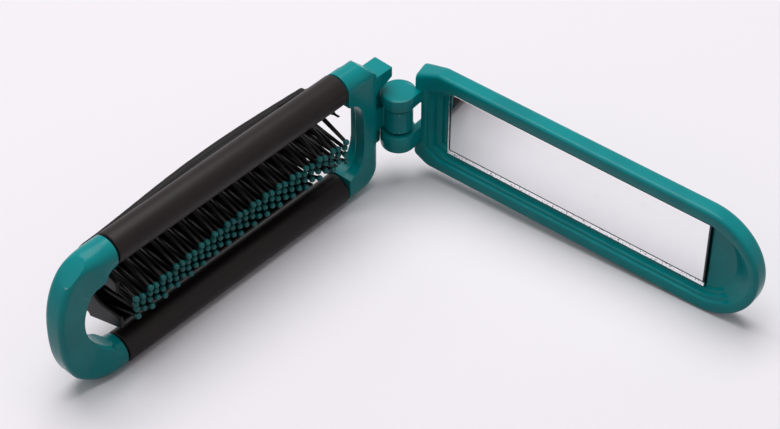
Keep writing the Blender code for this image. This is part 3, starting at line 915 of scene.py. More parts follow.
@dataclass
class FarEndCap:
    """The hook-shaped cap at the far end, swept from stub to stub.

    Outside it follows half a squared ellipse, and inside a part of an ellipse.

    Attributes:
        shared: The sizes of the brush half.
        centre_out: How far past the sleeves the outer outline starts to turn.
        reach: How far it runs on from there.
        power: How square the outer outline is; 2 is an ellipse.
        arc_back: How far before the sleeves' end the inner ellipse has its centre.
        inner_size: The half axes of the inner ellipse.
        front_step: How far the crest's front lies behind the stubs' front.
        back_step: How far its back lies in front of theirs.
        outer_round: The rounding of the crest's outer corners.
        inner_round: The rounding of its inner corners.
        stub_ease: The share of the stub's radius that its rounding takes.
        blend: The share of the way round in which the section changes.
        inner_blend: The same for its inner corners.
        lip: How far the end against the sleeve is drawn in.
        facet_turn: Where the cut flat faces, in degrees from the upright.
        facet_lean: How far it leans to the front, in degrees.
        facet_depth: How deep it cuts.
        stations: How many steps each half of the hook takes.
        stub_steps: How many steps each stub takes.
        round_steps: How many steps a rounding takes.
    """

    shared: BrushSizes
    centre_out: float = 2.2
    reach: float = 14.1
    power: float = 2.34
    arc_back: float = 1.5
    inner_size: Point2 = (10.9, 11.1)
    front_step: float = 1.6
    back_step: float = 0.3
    outer_round: float = 1.4
    inner_round: float = 0.9
    stub_ease: float = 0.985
    blend: float = 0.45
    inner_blend: float = 0.16
    lip: float = 0.30
    facet_turn: float = 37.5
    facet_lean: float = 6.6
    facet_depth: float = 0.50
    stations: int = 80
    stub_steps: int = 5
    round_steps: int = 12

    @property
    def centre_x(self) -> float:
        """Return where the hook's outline starts to turn."""
        return self.shared.sleeve_end + self.centre_out

    @property
    def arc_x(self) -> float:
        """Return where the inner ellipse has its centre."""
        return self.shared.sleeve_end - self.arc_back

    @staticmethod
    def eased(share: float) -> float:
        """Return a share that starts and ends gently."""
        share = max(0.0, min(1.0, share))
        return share * share * (3.0 - 2.0 * share)

    def section(self, inner: Point2, outer: Point2, share: float, ease: float = 0.0) -> list[Point3]:
        """Return the section between two points of the path.

        Args:
            inner: The inner point, in (x, z) from the middle.
            outer: The outer point.
            share: How far round the hook it is, from -1 to 1.
            ease: How far it is drawn in all round.

        Returns:
            The ring's points.
        """
        start, end = Vector(inner), Vector(outer)
        width = (end - start).length
        stub_round = self.shared.stub_radius * self.stub_ease
        flat = self.eased((1.0 - abs(share)) / self.blend)
        inner_flat = self.eased((1.0 - abs(share)) / self.inner_blend)
        in_round = stub_round + (self.inner_round - stub_round) * inner_flat - ease
        out_round = stub_round + (self.outer_round - stub_round) * flat - ease
        back = self.shared.back + self.back_step * flat + ease
        front = self.shared.front - self.front_step * flat - ease
        corners = (
            (width - ease - out_round, back + out_round, out_round, -math.pi / 2),
            (width - ease - out_round, front - out_round, out_round, 0.0),
            (ease + in_round, front - in_round, in_round, math.pi / 2),
            (ease + in_round, back + in_round, in_round, math.pi),
        )
        ring = []
        for across, y, radius, turn in corners:
            size, quarter = (radius, radius), turn + math.pi / 2
            for reach, depth in arc((across, y), size, turn, quarter, self.round_steps):
                spot = start.lerp(end, reach / width)
                ring.append((spot.x, depth, self.shared.middle + spot.y))
        return ring

    def stub(self, sign: float) -> list[list[Point3]]:
        """Return the sections of one stub, from the sleeve to where the hook starts.

        Args:
            sign: -1 for the lower stub and 1 for the upper one.

        Returns:
            The rings.
        """
        start = self.shared.sleeve_end + self.shared.seam
        places = [(start, self.lip)]
        places += [
            (start + self.lip + (self.centre_x - start - self.lip) * i / self.stub_steps, 0.0)
            for i in range(self.stub_steps)
        ]
        rings = []
        for x, ease in places:
            across = (x - self.arc_x) / self.inner_size[0]
            level = self.inner_size[1] * math.sqrt(1.0 - across**2)
            rings.append(self.section((x, sign * level), (x, sign * self.shared.half), sign, ease))
        return rings

    def rings(self) -> list[list[Point3]]:
        """Sweep the section from the lower stub round to the upper one.

        Returns:
            The rings in order.
        """
        bend = math.acos((self.centre_x - self.arc_x) / self.inner_size[0])
        rings = self.stub(-1.0)
        for i in range(-self.stations, self.stations + 1):
            share = i / self.stations
            turn = share * math.pi / 2
            across = self.reach * max(math.cos(turn), 0.0) ** (2 / self.power)
            rise = math.copysign(self.shared.half * abs(math.sin(turn)) ** (2 / self.power), share)
            swing = share * bend
            inner = (
                self.arc_x + self.inner_size[0] * math.cos(swing),
                self.inner_size[1] * math.sin(swing),
            )
            rings.append(self.section(inner, (self.centre_x + across, rise), share))
        return rings + self.stub(1.0)[::-1]

    def facet(self, sign: float) -> bmesh.types.BMesh:
        """Return the block whose face cuts the flat on an outer corner.

        Args:
            sign: -1 for the lower corner and 1 for the upper one.

        Returns:
            The block.
        """
        shared = self.shared
        slant = math.radians(self.facet_turn)
        turn = math.pi / 2 - slant
        steepness = (math.tan(slant) * self.reach / shared.half) ** (1 / (self.power - 1))
        rise = (1 / (1 + steepness**self.power)) ** (1 / self.power)
        high = shared.middle + sign * shared.half * rise
        spot = Vector((self.centre_x + self.reach * rise * steepness, shared.rail_y, high))
        lean = math.sin(math.radians(self.facet_lean))
        out = Vector((math.cos(turn), lean, sign * math.sin(turn))).normalized()
        made = block([-self.reach / 2] * 3, [self.reach / 2] * 3)
        aim = out.to_track_quat("Z", "Y").to_matrix().to_4x4()
        made.transform(Matrix.Translation(spot + out * (self.reach / 2 - self.facet_depth)) @ aim)
        return made

    def build(self, shop: Workshop, finishes: Finishes) -> None:
        """Build the cap.

        Args:
            shop: The workshop.
            finishes: The finishes.
        """
        steps = [(Carve.CUT, self.facet(sign)) for sign in (-1.0, 1.0)]
        shop.finish(
            "far_end_cap_shell",
            shop.settle(shop.carve(loft(self.rings()), steps)),
            Half.BRUSH,
            Body.FRAME,
            ("far_end_cap",),
            finishes.teal,
            crease=24.0,
        )


@dataclass
class HingeEndCap:
    """The cap at the hinge, carved and eased as one moulding.

    Attributes:
        shared: The sizes of the brush half.
        end_x: Where the block ends towards the hinge.
        end_round: The rounding of its front edge there.
        shoulders: How far the upper and the lower corner are cut.
        depth: How deep the block is behind its front.
        relief_x: Where the stubs' full depth starts.
        opening_end: How far the opening's curve reaches towards the hinge.
        opening_power: How square its outline is; 2 is an ellipse.
        recess_setback: How far behind the axis its longer part starts.
        recess: How much further that part reaches towards the hinge.
        ear: The finger ear's outline, in (x, z).
        ear_setback: How far behind the axis the ear's front is.
        web_setback: The same for the web that carries the knuckle.
        wall_x: Where the wall behind the discs starts.
        wall_setback: How far behind the axis its front is.
        wall_trim: How far the wall stays inside the recesses, below and above.
        disc_radius: The radius of the lid's discs.
        recess_gap: The clearance round them.
        knuckle_radius: The knuckle's full radius.
        knuckle: Its lowest and highest place.
        neck: The radius and the height of its neck at each end.
        neck_edge: The height of the step between them.
        recesses: The upper and the lower recess for a disc, each from one face to the other.
        rod_radius: The radius of a core rod.
        rod_tip: Its radius at its tip.
        rod_ease: How long the tip is.
        rod_past: How far a rod runs past the sleeve, at the hinge and at the far end.
        overrun: How far a cutting shape stands out past what it cuts.
        grain: The size of the faces of the eased surface.
        passes: How many times it is smoothed.
        sides: How many sides the knuckle and the recesses have.
        edge_steps: How many steps the front edge takes.
        opening_steps: How many steps the opening's outline takes.
        stadium_steps: How many steps each round end of the cap's section takes.
        rod_sides: How many sides a rod has.
    """

    shared: BrushSizes
    end_x: float = 4.8
    end_round: float = 2.6
    shoulders: Point2 = (4.5, 6.8)
    depth: float = 5.8
    relief_x: float = 11.8
    opening_end: float = 7.6
    opening_power: float = 3.3
    recess_setback: float = 3.9
    recess: float = 1.6
    ear: tuple[Point2, ...] = ((7.4, 33.0), (0.5, 33.0), (0.5, 30.2), (7.4, 27.3))
    ear_setback: float = 1.5
    web_setback: float = 2.2
    wall_x: float = 0.6
    wall_setback: float = 3.4
    disc_radius: float = 4.2
    recess_gap: float = 0.16
    knuckle_radius: float = 3.4
    knuckle: Point2 = (15.5, 22.7)
    neck: Point2 = (2.5, 0.45)
    recesses: tuple[Point2, Point2] = ((22.7, 26.65), (10.3, 15.5))
    neck_edge: float = 0.05
    wall_trim: Point2 = (0.3, 0.15)
    rod_radius: float = 2.6
    rod_tip: float = 2.3
    rod_ease: float = 0.3
    rod_past: Point2 = (0.6, 0.05)
    overrun: float = 1.0
    grain: float = 0.16
    passes: int = 4
    sides: int = 96
    edge_steps: int = 16
    opening_steps: int = 64
    stadium_steps: int = 40
    rod_sides: int = 48

    @property
    def back(self) -> float:
        """Return the back of the block."""
        return self.shared.front - self.depth

    def plan(self) -> list[Point2]:
        """Draw the outline seen from above, with its rounded front edge.

        Returns:
            Its points in (x, y).
        """
        front, deep = self.shared.front, self.shared.back - self.overrun
        past = self.shared.sleeve_start + self.overrun
        centre = (self.end_x + self.end_round, front - self.end_round)
        size = (self.end_round, self.end_round)
        edge = arc(centre, size, math.pi, math.pi / 2, self.edge_steps)
        low = [(past, front), (past, deep), (self.relief_x, deep), (self.relief_x, self.back)]
        return [(self.end_x, self.back), *edge, *low]

    def face(self) -> list[Point2]:
        """Draw the outline seen from the front, with its cut shoulders.

        Returns:
            Its points in (x, z).
        """
        middle, half = self.shared.middle, self.shared.half
        past_x, past = self.shared.sleeve_start + self.overrun, half + self.overrun
        upper, lower = self.shoulders
        return [
            (past_x, middle + past),
            (self.end_x + upper + self.overrun, middle + past),
            (self.end_x, middle + half - upper),
            (self.end_x, middle - half + lower),
            (self.end_x + lower + self.overrun, middle - past),
            (past_x, middle - past),
        ]

    def opening(self, end: float) -> list[Point2]:
        """Return the outline of the hinge end of the opening, in (x, z).

        Args:
            end: How far it reaches towards the hinge.

        Returns:
            The outline's points.
        """
        shared = self.shared
        past = shared.opening_arc_x + self.overrun
        outline = [(past, shared.middle + shared.opening_half)]
        turns = (math.pi / 2, 1.5 * math.pi, self.opening_steps)
        for across, up in arc((0.0, 0.0), (1.0, 1.0), *turns):
            out = max(-across, 0.0) ** (2 / self.opening_power)
            rise = math.copysign(abs(up) ** (2 / self.opening_power), up)
            level = shared.middle + shared.opening_half * rise
            outline.append((shared.opening_arc_x - end * out, level))
        return [*outline, (past, shared.middle - shared.opening_half)]

    def stadium(self) -> list[Point2]:
        """Draw the section of the cap across its length.

        Returns:
            Its points in (y, z).
        """
        shared = self.shared
        size = (shared.stub_radius, shared.stub_radius)
        high, low = shared.middle + shared.rail_offset, shared.middle - shared.rail_offset
        top = arc((shared.rail_y, high), size, 0.0, math.pi, self.stadium_steps)
        return [*top, *arc((shared.rail_y, low), size, math.pi, math.tau, self.stadium_steps)]

    def knuckle_profile(self) -> list[Point2]:
        """Draw the knuckle's profile, with a neck below each disc's edge.

        Returns:
            Its points as (radius, height).
        """
        (low, high), (radius, tall) = self.knuckle, self.neck
        full = self.knuckle_radius
        lower = [(radius, low), (radius, low + tall), (full, low + tall + self.neck_edge)]
        upper = [(full, high - tall - self.neck_edge), (radius, high - tall), (radius, high)]
        return lower + upper

    def shape(self, shop: Workshop) -> bpy.types.Mesh:
        """Carve the cap and ease its edges.

        Args:
            shop: The workshop.

        Returns:
            The eased mesh.
        """
        shared = self.shared
        front, back = shared.front + self.overrun, shared.back - self.overrun
        root_x = self.end_x + self.end_round
        low, high = self.knuckle
        tall = self.neck[1]
        web = block((0.0, -self.knuckle_radius, low + tall), (root_x, -self.web_setback, high - tall))
        wall = block(
            (self.wall_x, self.back, self.recesses[1][0] + self.wall_trim[0]),
            (root_x, -self.wall_setback, self.recesses[0][1] - self.wall_trim[1]),
        )
        ceiling = 2 * shared.middle + self.overrun
        longer = self.opening(self.opening_end + self.recess)
        steps = [
            (Carve.KEEP, prism(self.face(), back, front, Along.Y)),
            (Carve.KEEP, prism(self.plan(), -self.overrun, ceiling, Along.Z)),
            (Carve.CUT, prism(self.opening(self.opening_end), back, front, Along.Y)),
            (Carve.CUT, prism(longer, back, -self.recess_setback, Along.Y)),
            (Carve.JOIN, prism(self.ear, self.back, -self.ear_setback, Along.Y)),
            (Carve.JOIN, web),
            (Carve.JOIN, wall),
        ]
        for ends in self.recesses:
            recess = [(self.disc_radius + self.recess_gap, end) for end in ends]
            steps.append((Carve.CUT, turned(recess, Along.Z, (0.0, 0.0), self.sides)))
        steps.append((Carve.JOIN, turned(self.knuckle_profile(), Along.Z, (0.0, 0.0), self.sides)))
        base = prism(self.stadium(), self.end_x, shared.sleeve_start - shared.seam, Along.X)
        return shop.soften(shop.carve(base, steps), self.grain, self.passes)

    def build(self, shop: Workshop, finishes: Finishes) -> None:
        """Build the cap and the core rods inside the sleeves.

        Args:
            shop: The workshop.
            finishes: The finishes.
        """
        shop.finish(
            "hinge_end_cap_shell",
            self.shape(shop),
            Half.BRUSH,
            Body.FRAME,
            ("hinge_end_cap",),
            finishes.teal,
            crease=None,
        )
        near = self.shared.sleeve_start - self.rod_past[0]
        full = near + self.rod_ease
        far = self.shared.sleeve_end + self.rod_past[1]
        profile = [(self.rod_tip, near), (self.rod_radius, full), (self.rod_radius, far)]
        for side, sign in (("lower", -1.0), ("upper", 1.0)):
            centre = (self.shared.rail_y, self.shared.middle + sign * self.shared.rail_offset)
            shop.finish(
                f"{side}_core_rod",
                turned(profile, Along.X, centre, self.rod_sides),
                Half.BRUSH,
                Body.FRAME,
                (),
                finishes.teal,
            )


@dataclass
class BristlePlate:
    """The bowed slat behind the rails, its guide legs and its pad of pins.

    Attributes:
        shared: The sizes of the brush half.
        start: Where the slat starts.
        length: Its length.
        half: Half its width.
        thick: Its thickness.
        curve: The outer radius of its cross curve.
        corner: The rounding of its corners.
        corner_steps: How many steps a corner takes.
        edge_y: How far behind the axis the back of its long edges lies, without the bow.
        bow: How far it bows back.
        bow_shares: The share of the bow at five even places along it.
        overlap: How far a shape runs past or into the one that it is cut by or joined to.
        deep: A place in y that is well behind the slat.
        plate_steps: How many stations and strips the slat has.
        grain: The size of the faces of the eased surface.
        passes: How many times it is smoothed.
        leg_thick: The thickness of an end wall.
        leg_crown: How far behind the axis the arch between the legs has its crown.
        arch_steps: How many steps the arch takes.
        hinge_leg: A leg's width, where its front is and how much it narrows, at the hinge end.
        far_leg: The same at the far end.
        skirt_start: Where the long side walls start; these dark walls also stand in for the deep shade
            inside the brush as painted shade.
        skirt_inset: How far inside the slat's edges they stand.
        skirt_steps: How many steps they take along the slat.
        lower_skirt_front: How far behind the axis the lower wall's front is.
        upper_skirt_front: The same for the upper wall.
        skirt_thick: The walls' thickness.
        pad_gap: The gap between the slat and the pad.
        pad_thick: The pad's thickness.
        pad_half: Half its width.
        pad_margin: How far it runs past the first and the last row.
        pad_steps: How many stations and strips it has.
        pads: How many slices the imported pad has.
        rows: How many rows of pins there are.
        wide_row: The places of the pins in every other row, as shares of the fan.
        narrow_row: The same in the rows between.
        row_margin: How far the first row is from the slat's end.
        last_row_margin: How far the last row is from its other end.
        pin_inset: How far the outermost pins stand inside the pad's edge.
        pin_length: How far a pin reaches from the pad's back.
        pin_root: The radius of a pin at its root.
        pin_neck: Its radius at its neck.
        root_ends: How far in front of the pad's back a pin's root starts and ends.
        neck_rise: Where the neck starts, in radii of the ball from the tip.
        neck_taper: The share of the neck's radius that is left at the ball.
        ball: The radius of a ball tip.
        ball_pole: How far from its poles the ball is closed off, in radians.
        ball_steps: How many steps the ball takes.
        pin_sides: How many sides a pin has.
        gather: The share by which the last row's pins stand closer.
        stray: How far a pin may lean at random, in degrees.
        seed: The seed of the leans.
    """

    shared: BrushSizes
    start: float = 15.6
    length: float = 69.8
    half: float = 10.3
    thick: float = 1.5
    curve: float = 24.5
    corner: float = 1.6
    corner_steps: int = 8
    edge_y: float = 13.94
    bow: float = 2.13
    bow_shares: tuple[float, ...] = (0.484, 0.941, 1.000, 0.490, 0.000)
    overlap: float = 0.4
    deep: float = -30.0
    plate_steps: tuple[int, int] = (48, 20)
    grain: float = 0.25
    passes: int = 2
    leg_thick: float = 1.0
    leg_crown: float = 11.2
    arch_steps: int = 32
    hinge_leg: tuple[float, float, float] = (2.4, 5.2, 0.0)
    far_leg: tuple[float, float, float] = (6.6, 2.4, 3.4)
    skirt_start: float = 25.0
    skirt_inset: float = 0.1
    skirt_steps: int = 24
    lower_skirt_front: float = 3.3
    upper_skirt_front: float = 10.0
    skirt_thick: float = 0.8
    pad_gap: float = 0.3
    pad_thick: float = 1.0
    pad_half: float = 9.4
    pad_margin: float = 0.4
    pad_steps: tuple[int, int] = (40, 16)
    pads: int = 4
    rows: int = 33
    wide_row: tuple[float, ...] = (-1.0, -1 / 3, 1 / 3, 1.0)
    narrow_row: tuple[float, ...] = (-2 / 3, 0.0, 2 / 3)
    row_margin: float = 1.7
    last_row_margin: float = 2.5
    pin_inset: float = 1.25
    pin_length: float = 15.4
    pin_root: float = 0.62
    pin_neck: float = 0.44
    root_ends: Point2 = (0.6, 2.0)
    neck_rise: float = 1.6
    neck_taper: float = 0.8
    ball: float = 0.74
    ball_pole: float = 0.12
    ball_steps: int = 10
    pin_sides: int = 12
    gather: float = 0.10
    stray: float = 0.9
    seed: int = 7

    @property
    def end(self) -> float:
        """Return where the plate ends."""
        return self.start + self.length

    @property
    def sag(self) -> float:
        """Return how deep the plate's cross curve is."""
        return self.curve - math.sqrt(self.curve**2 - self.half**2)

    @property
    def face(self) -> float:
        """Return the radius of the pad's back, a small gap in front of the plate."""
        return self.curve - self.thick - self.pad_gap

    def bow_at(self, x: float) -> float:
        """Return how far the plate bows back at a place along it.

        Args:
            x: The place along the plate.

        Returns:
            The bow in millimetres.
        """
        place = (x - self.start) / self.length
        knots = [i / (len(self.bow_shares) - 1) for i in range(len(self.bow_shares))]
        total = 0.0
        for i, share in enumerate(self.bow_shares):
            term = share
            for j, knot in enumerate(knots):
                if i != j:
                    term *= (place - knot) / (knots[i] - knot)
            total += term
        return self.bow * total

    def centre_y(self, x: float) -> float:
        """Return the line that the plate's cross curve and pins are centred on.

        Args:
            x: The place along the plate.

        Returns:
            Its place in y.
        """
        return self.curve - (self.edge_y + self.bow_at(x) + self.sag)

    def shell(
        self, ends: Point2, size: tuple[float, float, float], counts: tuple[int, int]
    ) -> bmesh.types.BMesh:
        """Return a strip on the plate's cross curve.

        Args:
            ends: Where it starts and ends along the plate.
            size: Its outer radius, half width and thickness.
            counts: How many stations and strips it has.

        Returns:
            The closed strip.
        """
        radius, half, thick = size
        limit = math.asin(half / radius)
        rings = []
        for i in range(counts[0] + 1):
            x = ends[0] + (ends[1] - ends[0]) * i / counts[0]
            centre = (self.centre_y(x), self.shared.middle)
            outer = arc(centre, (-radius, radius), -limit, limit, counts[1])
            inner = arc(centre, (thick - radius, radius - thick), limit, -limit, counts[1])
            rings.append([(x, y, z) for y, z in outer + inner])
        return loft(rings)

    def legs(self, x: float, size: tuple[float, float, float]) -> bmesh.types.BMesh:
        """Return an end wall, arched so that a leg stands at each side.

        Args:
            x: Where the wall starts.
            size: The width of a leg, where its front is and how much it narrows towards it.

        Returns:
            The wall.
        """
        width, front, taper = size
        middle, half = self.shared.middle, self.half
        back = self.centre_y(x) - self.curve + self.sag + self.thick - self.overlap
        inner = half - width
        centre, size = (inner - self.leg_crown, middle), (inner, inner)
        arch = arc(centre, size, math.pi / 2, 1.5 * math.pi, self.arch_steps)
        dip = back - self.sag / 2
        outline = [
            (-front, middle + half - taper),
            (back, middle + half),
            (dip, middle + half / 2),
            (dip, middle - half / 2),
            (back, middle - half),
            (-front, middle - half + taper),
            (-front, middle - inner),
            *reversed(arch),
            (-front, middle + inner),
        ]
        return prism(outline, x, x + self.leg_thick, Along.X)

    def side_wall_and_shade(self, sign: float, front: float) -> bmesh.types.BMesh:
        """Return the long side wall that runs from the slat to between the rails; it is also a dark
        sheet of painted shade over the deep shade there.

        Args:
            sign: -1 for the lower wall and 1 for the upper one.
            front: How far behind the hinge axis its front is.

        Returns:
            The wall.
        """
        far_x = self.end - 0.5 * self.leg_thick
        side = self.half - self.skirt_inset
        rings = []
        for i in range(self.skirt_steps + 1):
            x = self.skirt_start + (far_x - self.skirt_start) * i / self.skirt_steps
            root = self.centre_y(x) - self.curve + self.sag + self.thick / 2
            steep = self.far_leg[2] / (-root - self.far_leg[1])
            drawn = steep * (-root - front)
            section = (
                (root, side),
                (-front, side - drawn),
                (-front, side - drawn - self.skirt_thick),
                (root, side - self.skirt_thick),
            )
            rings.append([(x, y, self.shared.middle + sign * up) for y, up in section])
        return loft(rings)

    def plate(self, shop: Workshop) -> bpy.types.Mesh:
        """Carve the plate with its legs.

        Args:
            shop: The workshop.

        Returns:
            The eased mesh.
        """
        middle, corner = self.shared.middle, self.corner
        outline: list[Point2] = []
        turns = ((self.end - corner, -1.0, -0.5), (self.end - corner, 1.0, 0.0))
        turns += ((self.start + corner, 1.0, 0.5), (self.start + corner, -1.0, 1.0))
        for x, sign, turn in turns:
            centre = (x, middle + sign * (self.half - corner))
            start, end = turn * math.pi, (turn + 0.5) * math.pi
            outline += arc(centre, (corner, corner), start, end, self.corner_steps)
        size = (self.curve, self.half + self.overlap, self.thick)
        ends = (self.start - self.overlap, self.end + self.overlap)
        base = self.shell(ends, size, self.plate_steps)
        steps = (
            (Carve.KEEP, prism(outline, self.deep, -self.hinge_leg[1], Along.Y)),
            (Carve.JOIN, self.legs(self.start, self.hinge_leg)),
            (Carve.JOIN, self.legs(self.end - self.leg_thick, self.far_leg)),
            # Painted shade: the dark side walls fill the deep shade between the pins, the slat and the
            # rails.
            (Carve.JOIN, self.side_wall_and_shade(-1.0, self.lower_skirt_front)),
            (Carve.JOIN, self.side_wall_and_shade(1.0, self.upper_skirt_front)),
        )
        return shop.soften(shop.carve(base, steps), self.grain, self.passes)

    def places(self) -> list[Point2]:
        """List the places of the pins, row by row.

        Returns:
            Each pin's place along the plate and its share of the fan.
        """
        first = self.start + self.row_margin
        pitch = (self.end - self.last_row_margin - first) / (self.rows - 1)
        places = []
        for row in range(self.rows):
            drawn = 1.0 - self.gather * max(0.0, 2.0 * row / (self.rows - 1) - 1.0)
            shares = self.narrow_row if row % 2 else self.wide_row
            places += [(first + row * pitch, share * drawn) for share in shares]
        return places

    def pins(self) -> tuple[bmesh.types.BMesh, bmesh.types.BMesh]:
        """Build all pins, each with a small lean of its own.

        Returns:
            Their shafts and their ball tips.
        """
        shafts, balls = bmesh.new(), bmesh.new()
        fan = math.asin((self.pad_half - self.pin_inset) / self.face)
        tip = self.face - self.pin_length
        shaft = [
            (self.pin_root, self.face - self.root_ends[0]),
            (self.pin_root, self.face - self.root_ends[1]),
            (self.pin_neck, tip + self.ball * self.neck_rise),
            (self.pin_neck * self.neck_taper, tip + self.ball),
        ]
        centre, size = (tip + self.ball, 0.0), (self.ball, self.ball)
        bead = arc(centre, size, self.ball_pole, math.pi - self.ball_pole, self.ball_steps)
        chance = random.Random(self.seed)
        for x, share in self.places():
            bend, lean = (math.radians(chance.uniform(-self.stray, self.stray)) for _ in range(2))
            turn = Matrix.Rotation(bend - share * fan, 4, "X") @ Matrix.Rotation(lean, 4, "Z")
            turn @= Matrix.Rotation(math.pi / 2, 4, "X")
            place = Matrix.Translation((x, self.centre_y(x), self.shared.middle)) @ turn
            self.add(shafts, shaft, place)
            self.add(balls, [(radius, depth) for depth, radius in bead], place)
        return shafts, balls

    def add(self, target: bmesh.types.BMesh, profile: Sequence[Point2], place: Matrix) -> None:
        """Add a turned shape to a group of them.

        Args:
            target: The group.
            profile: Its profile as (radius, distance from the fan's centre).
            place: Where it goes.
        """
        made = turned(profile, Along.Z, (0.0, 0.0), self.pin_sides)
        made.transform(place)
        mesh = as_mesh(made, "pin")
        target.from_mesh(mesh)
        bpy.data.meshes.remove(mesh)

    def build(self, shop: Workshop, finishes: Finishes) -> None:
        """Build the plate, the pad and the pins.

        Args:
            shop: The workshop.
            finishes: The finishes.
        """
        half, body = Half.BRUSH, Body.CARRIAGE
        shop.finish(
            "bristle_plate_slat",
            self.plate(shop),
            half,
            body,
            ("bristle_plate",),
            finishes.plate,
            crease=None,
        )
        low = self.start + self.row_margin - self.pad_margin
        high = self.end - self.last_row_margin + self.pad_margin
        size = (self.face, self.pad_half, self.pad_thick)
        pad = self.shell((low, high), size, self.pad_steps)
        nodes = tuple(f"bristle_pad_{i}" for i in range(1, self.pads + 1))
        shop.finish("bristle_pad", pad, half, body, nodes, finishes.nylon)
        shafts, balls = self.pins()
        shop.finish("pin_shafts", shafts, half, body, (), finishes.nylon)
        shop.finish("pin_ball_tips", balls, half, body, (), finishes.tip)


@dataclass
class MirrorLid:
    """The lid: its tray with a stepped rim, its hinge arms and the mirror glass.

    Attributes:
        middle: The height of its middle line.
        half: Half its width.
        start: Where the tray starts.
        end: Where it ends.
        front: Where its front face lies.
        thick: Its thickness.
        upper_shoulder: How far the upper corner at the hinge is cut, along and down.
        lower_shoulder: The same for the lower corner.
        back_drop: How far down the upper corner is cut at the back.
        corner: How far from each corner its easing starts.
        corner_steps: How many steps an easing takes.
        front_round: The rounding of the front edge.
        back_round: The rounding of the back edge.
        edge_steps: How many steps these roundings take.
        hinge_ease: How far both are drawn in at the hinge end.
        land: The width of the flat rim along the sides.
        slope: The width of the stepped slope inside it.
        far_land: The width of the flat rim at the far end.
        far_slope: The width of the slope there.
        rim_ease: How wide and how deep the edge between rim and slope is eased.
        rim_profile: The slope's ledges, as shares of its width and depth.
        hinge_land_x: Where the slope starts at the hinge end.
        hinge_floor_x: Where it ends there.
        field_depth: How deep the field lies behind the rim.
        overrun: How far a cutting shape stands out past what it cuts.
        disc_radius: The radius of the hinge discs.
        discs: The upper and the lower disc, each from its lower to its upper face.
        disc_ease: How the edge of a disc is eased: steps inwards and along.
        arm_sink: How far an arm reaches into the tray.
        notch: The lower and the upper end of the notch for the knuckle.
        notch_x: Where the notch ends.
        glass_x: Where the glass starts.
        glass_to_end: How far before the lid's end it ends.
        glass_half: Half its width.
        glass_front: Where its front lies.
        glass_thick: Its thickness.
        pane_ease: How wide and how deep the flat's edge is eased.
        pad_thick: The thickness of the pad behind it.
        gap: The clearance round the glass.
        ground_width: How far above the glass's lower edge the ground strip ends.
        ground_lift: How far above that edge it starts.
        line_width: The width of the two end strips.
        groove: The gap between the flat and the ground strips, below it and at the hinge end.
        tilt: How far the ground strip's upper edge is set back.
        arc_steps: How many steps a long curve takes.
    """

    middle: float = 18.85
    half: float = 14.55
    start: float = 2.2
    end: float = 94.6
    front: float = 3.0
    thick: float = 4.5
    upper_shoulder: Point2 = (6.4, 3.1)
    lower_shoulder: Point2 = (3.6, 1.8)
    back_drop: float = 1.6
    corner: float = 0.8
    corner_steps: int = 6
    front_round: float = 0.9
    back_round: float = 1.4
    edge_steps: int = 8
    hinge_ease: float = 0.35
    land: float = 3.2
    slope: float = 2.2
    far_land: float = 2.0
    far_slope: float = 4.7
    rim_ease: Point2 = (0.10, 0.05)
    rim_profile: tuple[Point2, ...] = (
        (0.05, 0.28),
        (0.36, 0.34),
        (0.43, 0.70),
        (0.76, 0.76),
        (0.83, 0.98),
        (1.00, 1.00),
    )
    hinge_land_x: float = 5.6
    hinge_floor_x: float = 9.8
    field_depth: float = 2.7
    overrun: float = 1.0
    disc_radius: float = 4.2
    discs: tuple[Point2, Point2] = ((23.0, 26.5), (10.6, 15.2))
    disc_ease: tuple[Point2, ...] = ((0.55, 0.0), (0.45, 0.0), (0.13, 0.13), (0.0, 0.45))
    arm_sink: float = 0.4
    notch: Point2 = (15.2, 23.0)
    notch_x: float = 4.2
    glass_x: float = 10.7
    glass_to_end: float = 13.7
    glass_half: float = 9.2
    glass_front: float = 4.8
    glass_thick: float = 1.0
    pane_ease: Point2 = (0.05, 0.04)
    pad_thick: float = 0.4
    gap: float = 0.3
    ground_width: float = 1.20
    ground_lift: float = 0.18
    line_width: float = 0.35
    groove: float = 0.34
    tilt: float = 0.08
    arc_steps: int = 72

    def outline(self, inset: float, far_inset: float, hinge_x: float, depth: float) -> list[Point2]:
        """Return the lid's outline, or a line inside it, in (x, z).

        Args:
            inset: How far inside the long sides it runs.
            far_inset: How far inside the far end it runs.
            hinge_x: Where it ends at the hinge.
            depth: How deep in the lid it lies; the upper shoulder is cut less at the back.

        Returns:
            The points.
        """
        half = self.half - inset
        centre = (self.end - self.half, self.middle)
        far = arc(centre, (self.half - far_inset, half), -math.pi / 2, math.pi / 2, self.arc_steps)
        upper, lower = self.upper_shoulder, self.lower_shoulder
        drop = upper[1] + (self.back_drop - upper[1]) * (depth - self.front) / self.thick
        high, low = self.middle + half, self.middle - half
        corners = [
            (self.end - self.half, high),
            (hinge_x + upper[0], high),
            (hinge_x, high - drop),
            (hinge_x, low + lower[1]),
            (hinge_x + lower[0], low),
            (self.end - self.half, low),
        ]
        for before, corner, after in zip(corners, corners[1:], corners[2:]):
            far += self.eased_corner(Vector(before), Vector(corner), Vector(after))
        return far

    def eased_corner(self, before: Vector, corner: Vector, after: Vector) -> list[Point2]:
        """Return the points that round one corner of an outline.

        Args:
            before: The point before it.
            corner: The corner.
            after: The point after it.

        Returns:
            The points of its curve.
        """
        start = corner + (before - corner).normalized() * self.corner
        end = corner + (after - corner).normalized() * self.corner
        points = []
        for i in range(self.corner_steps + 1):
            share = i / self.corner_steps
            spot = start.lerp(corner, share).lerp(corner.lerp(end, share), share)
            points.append((spot.x, spot.y))
        return points

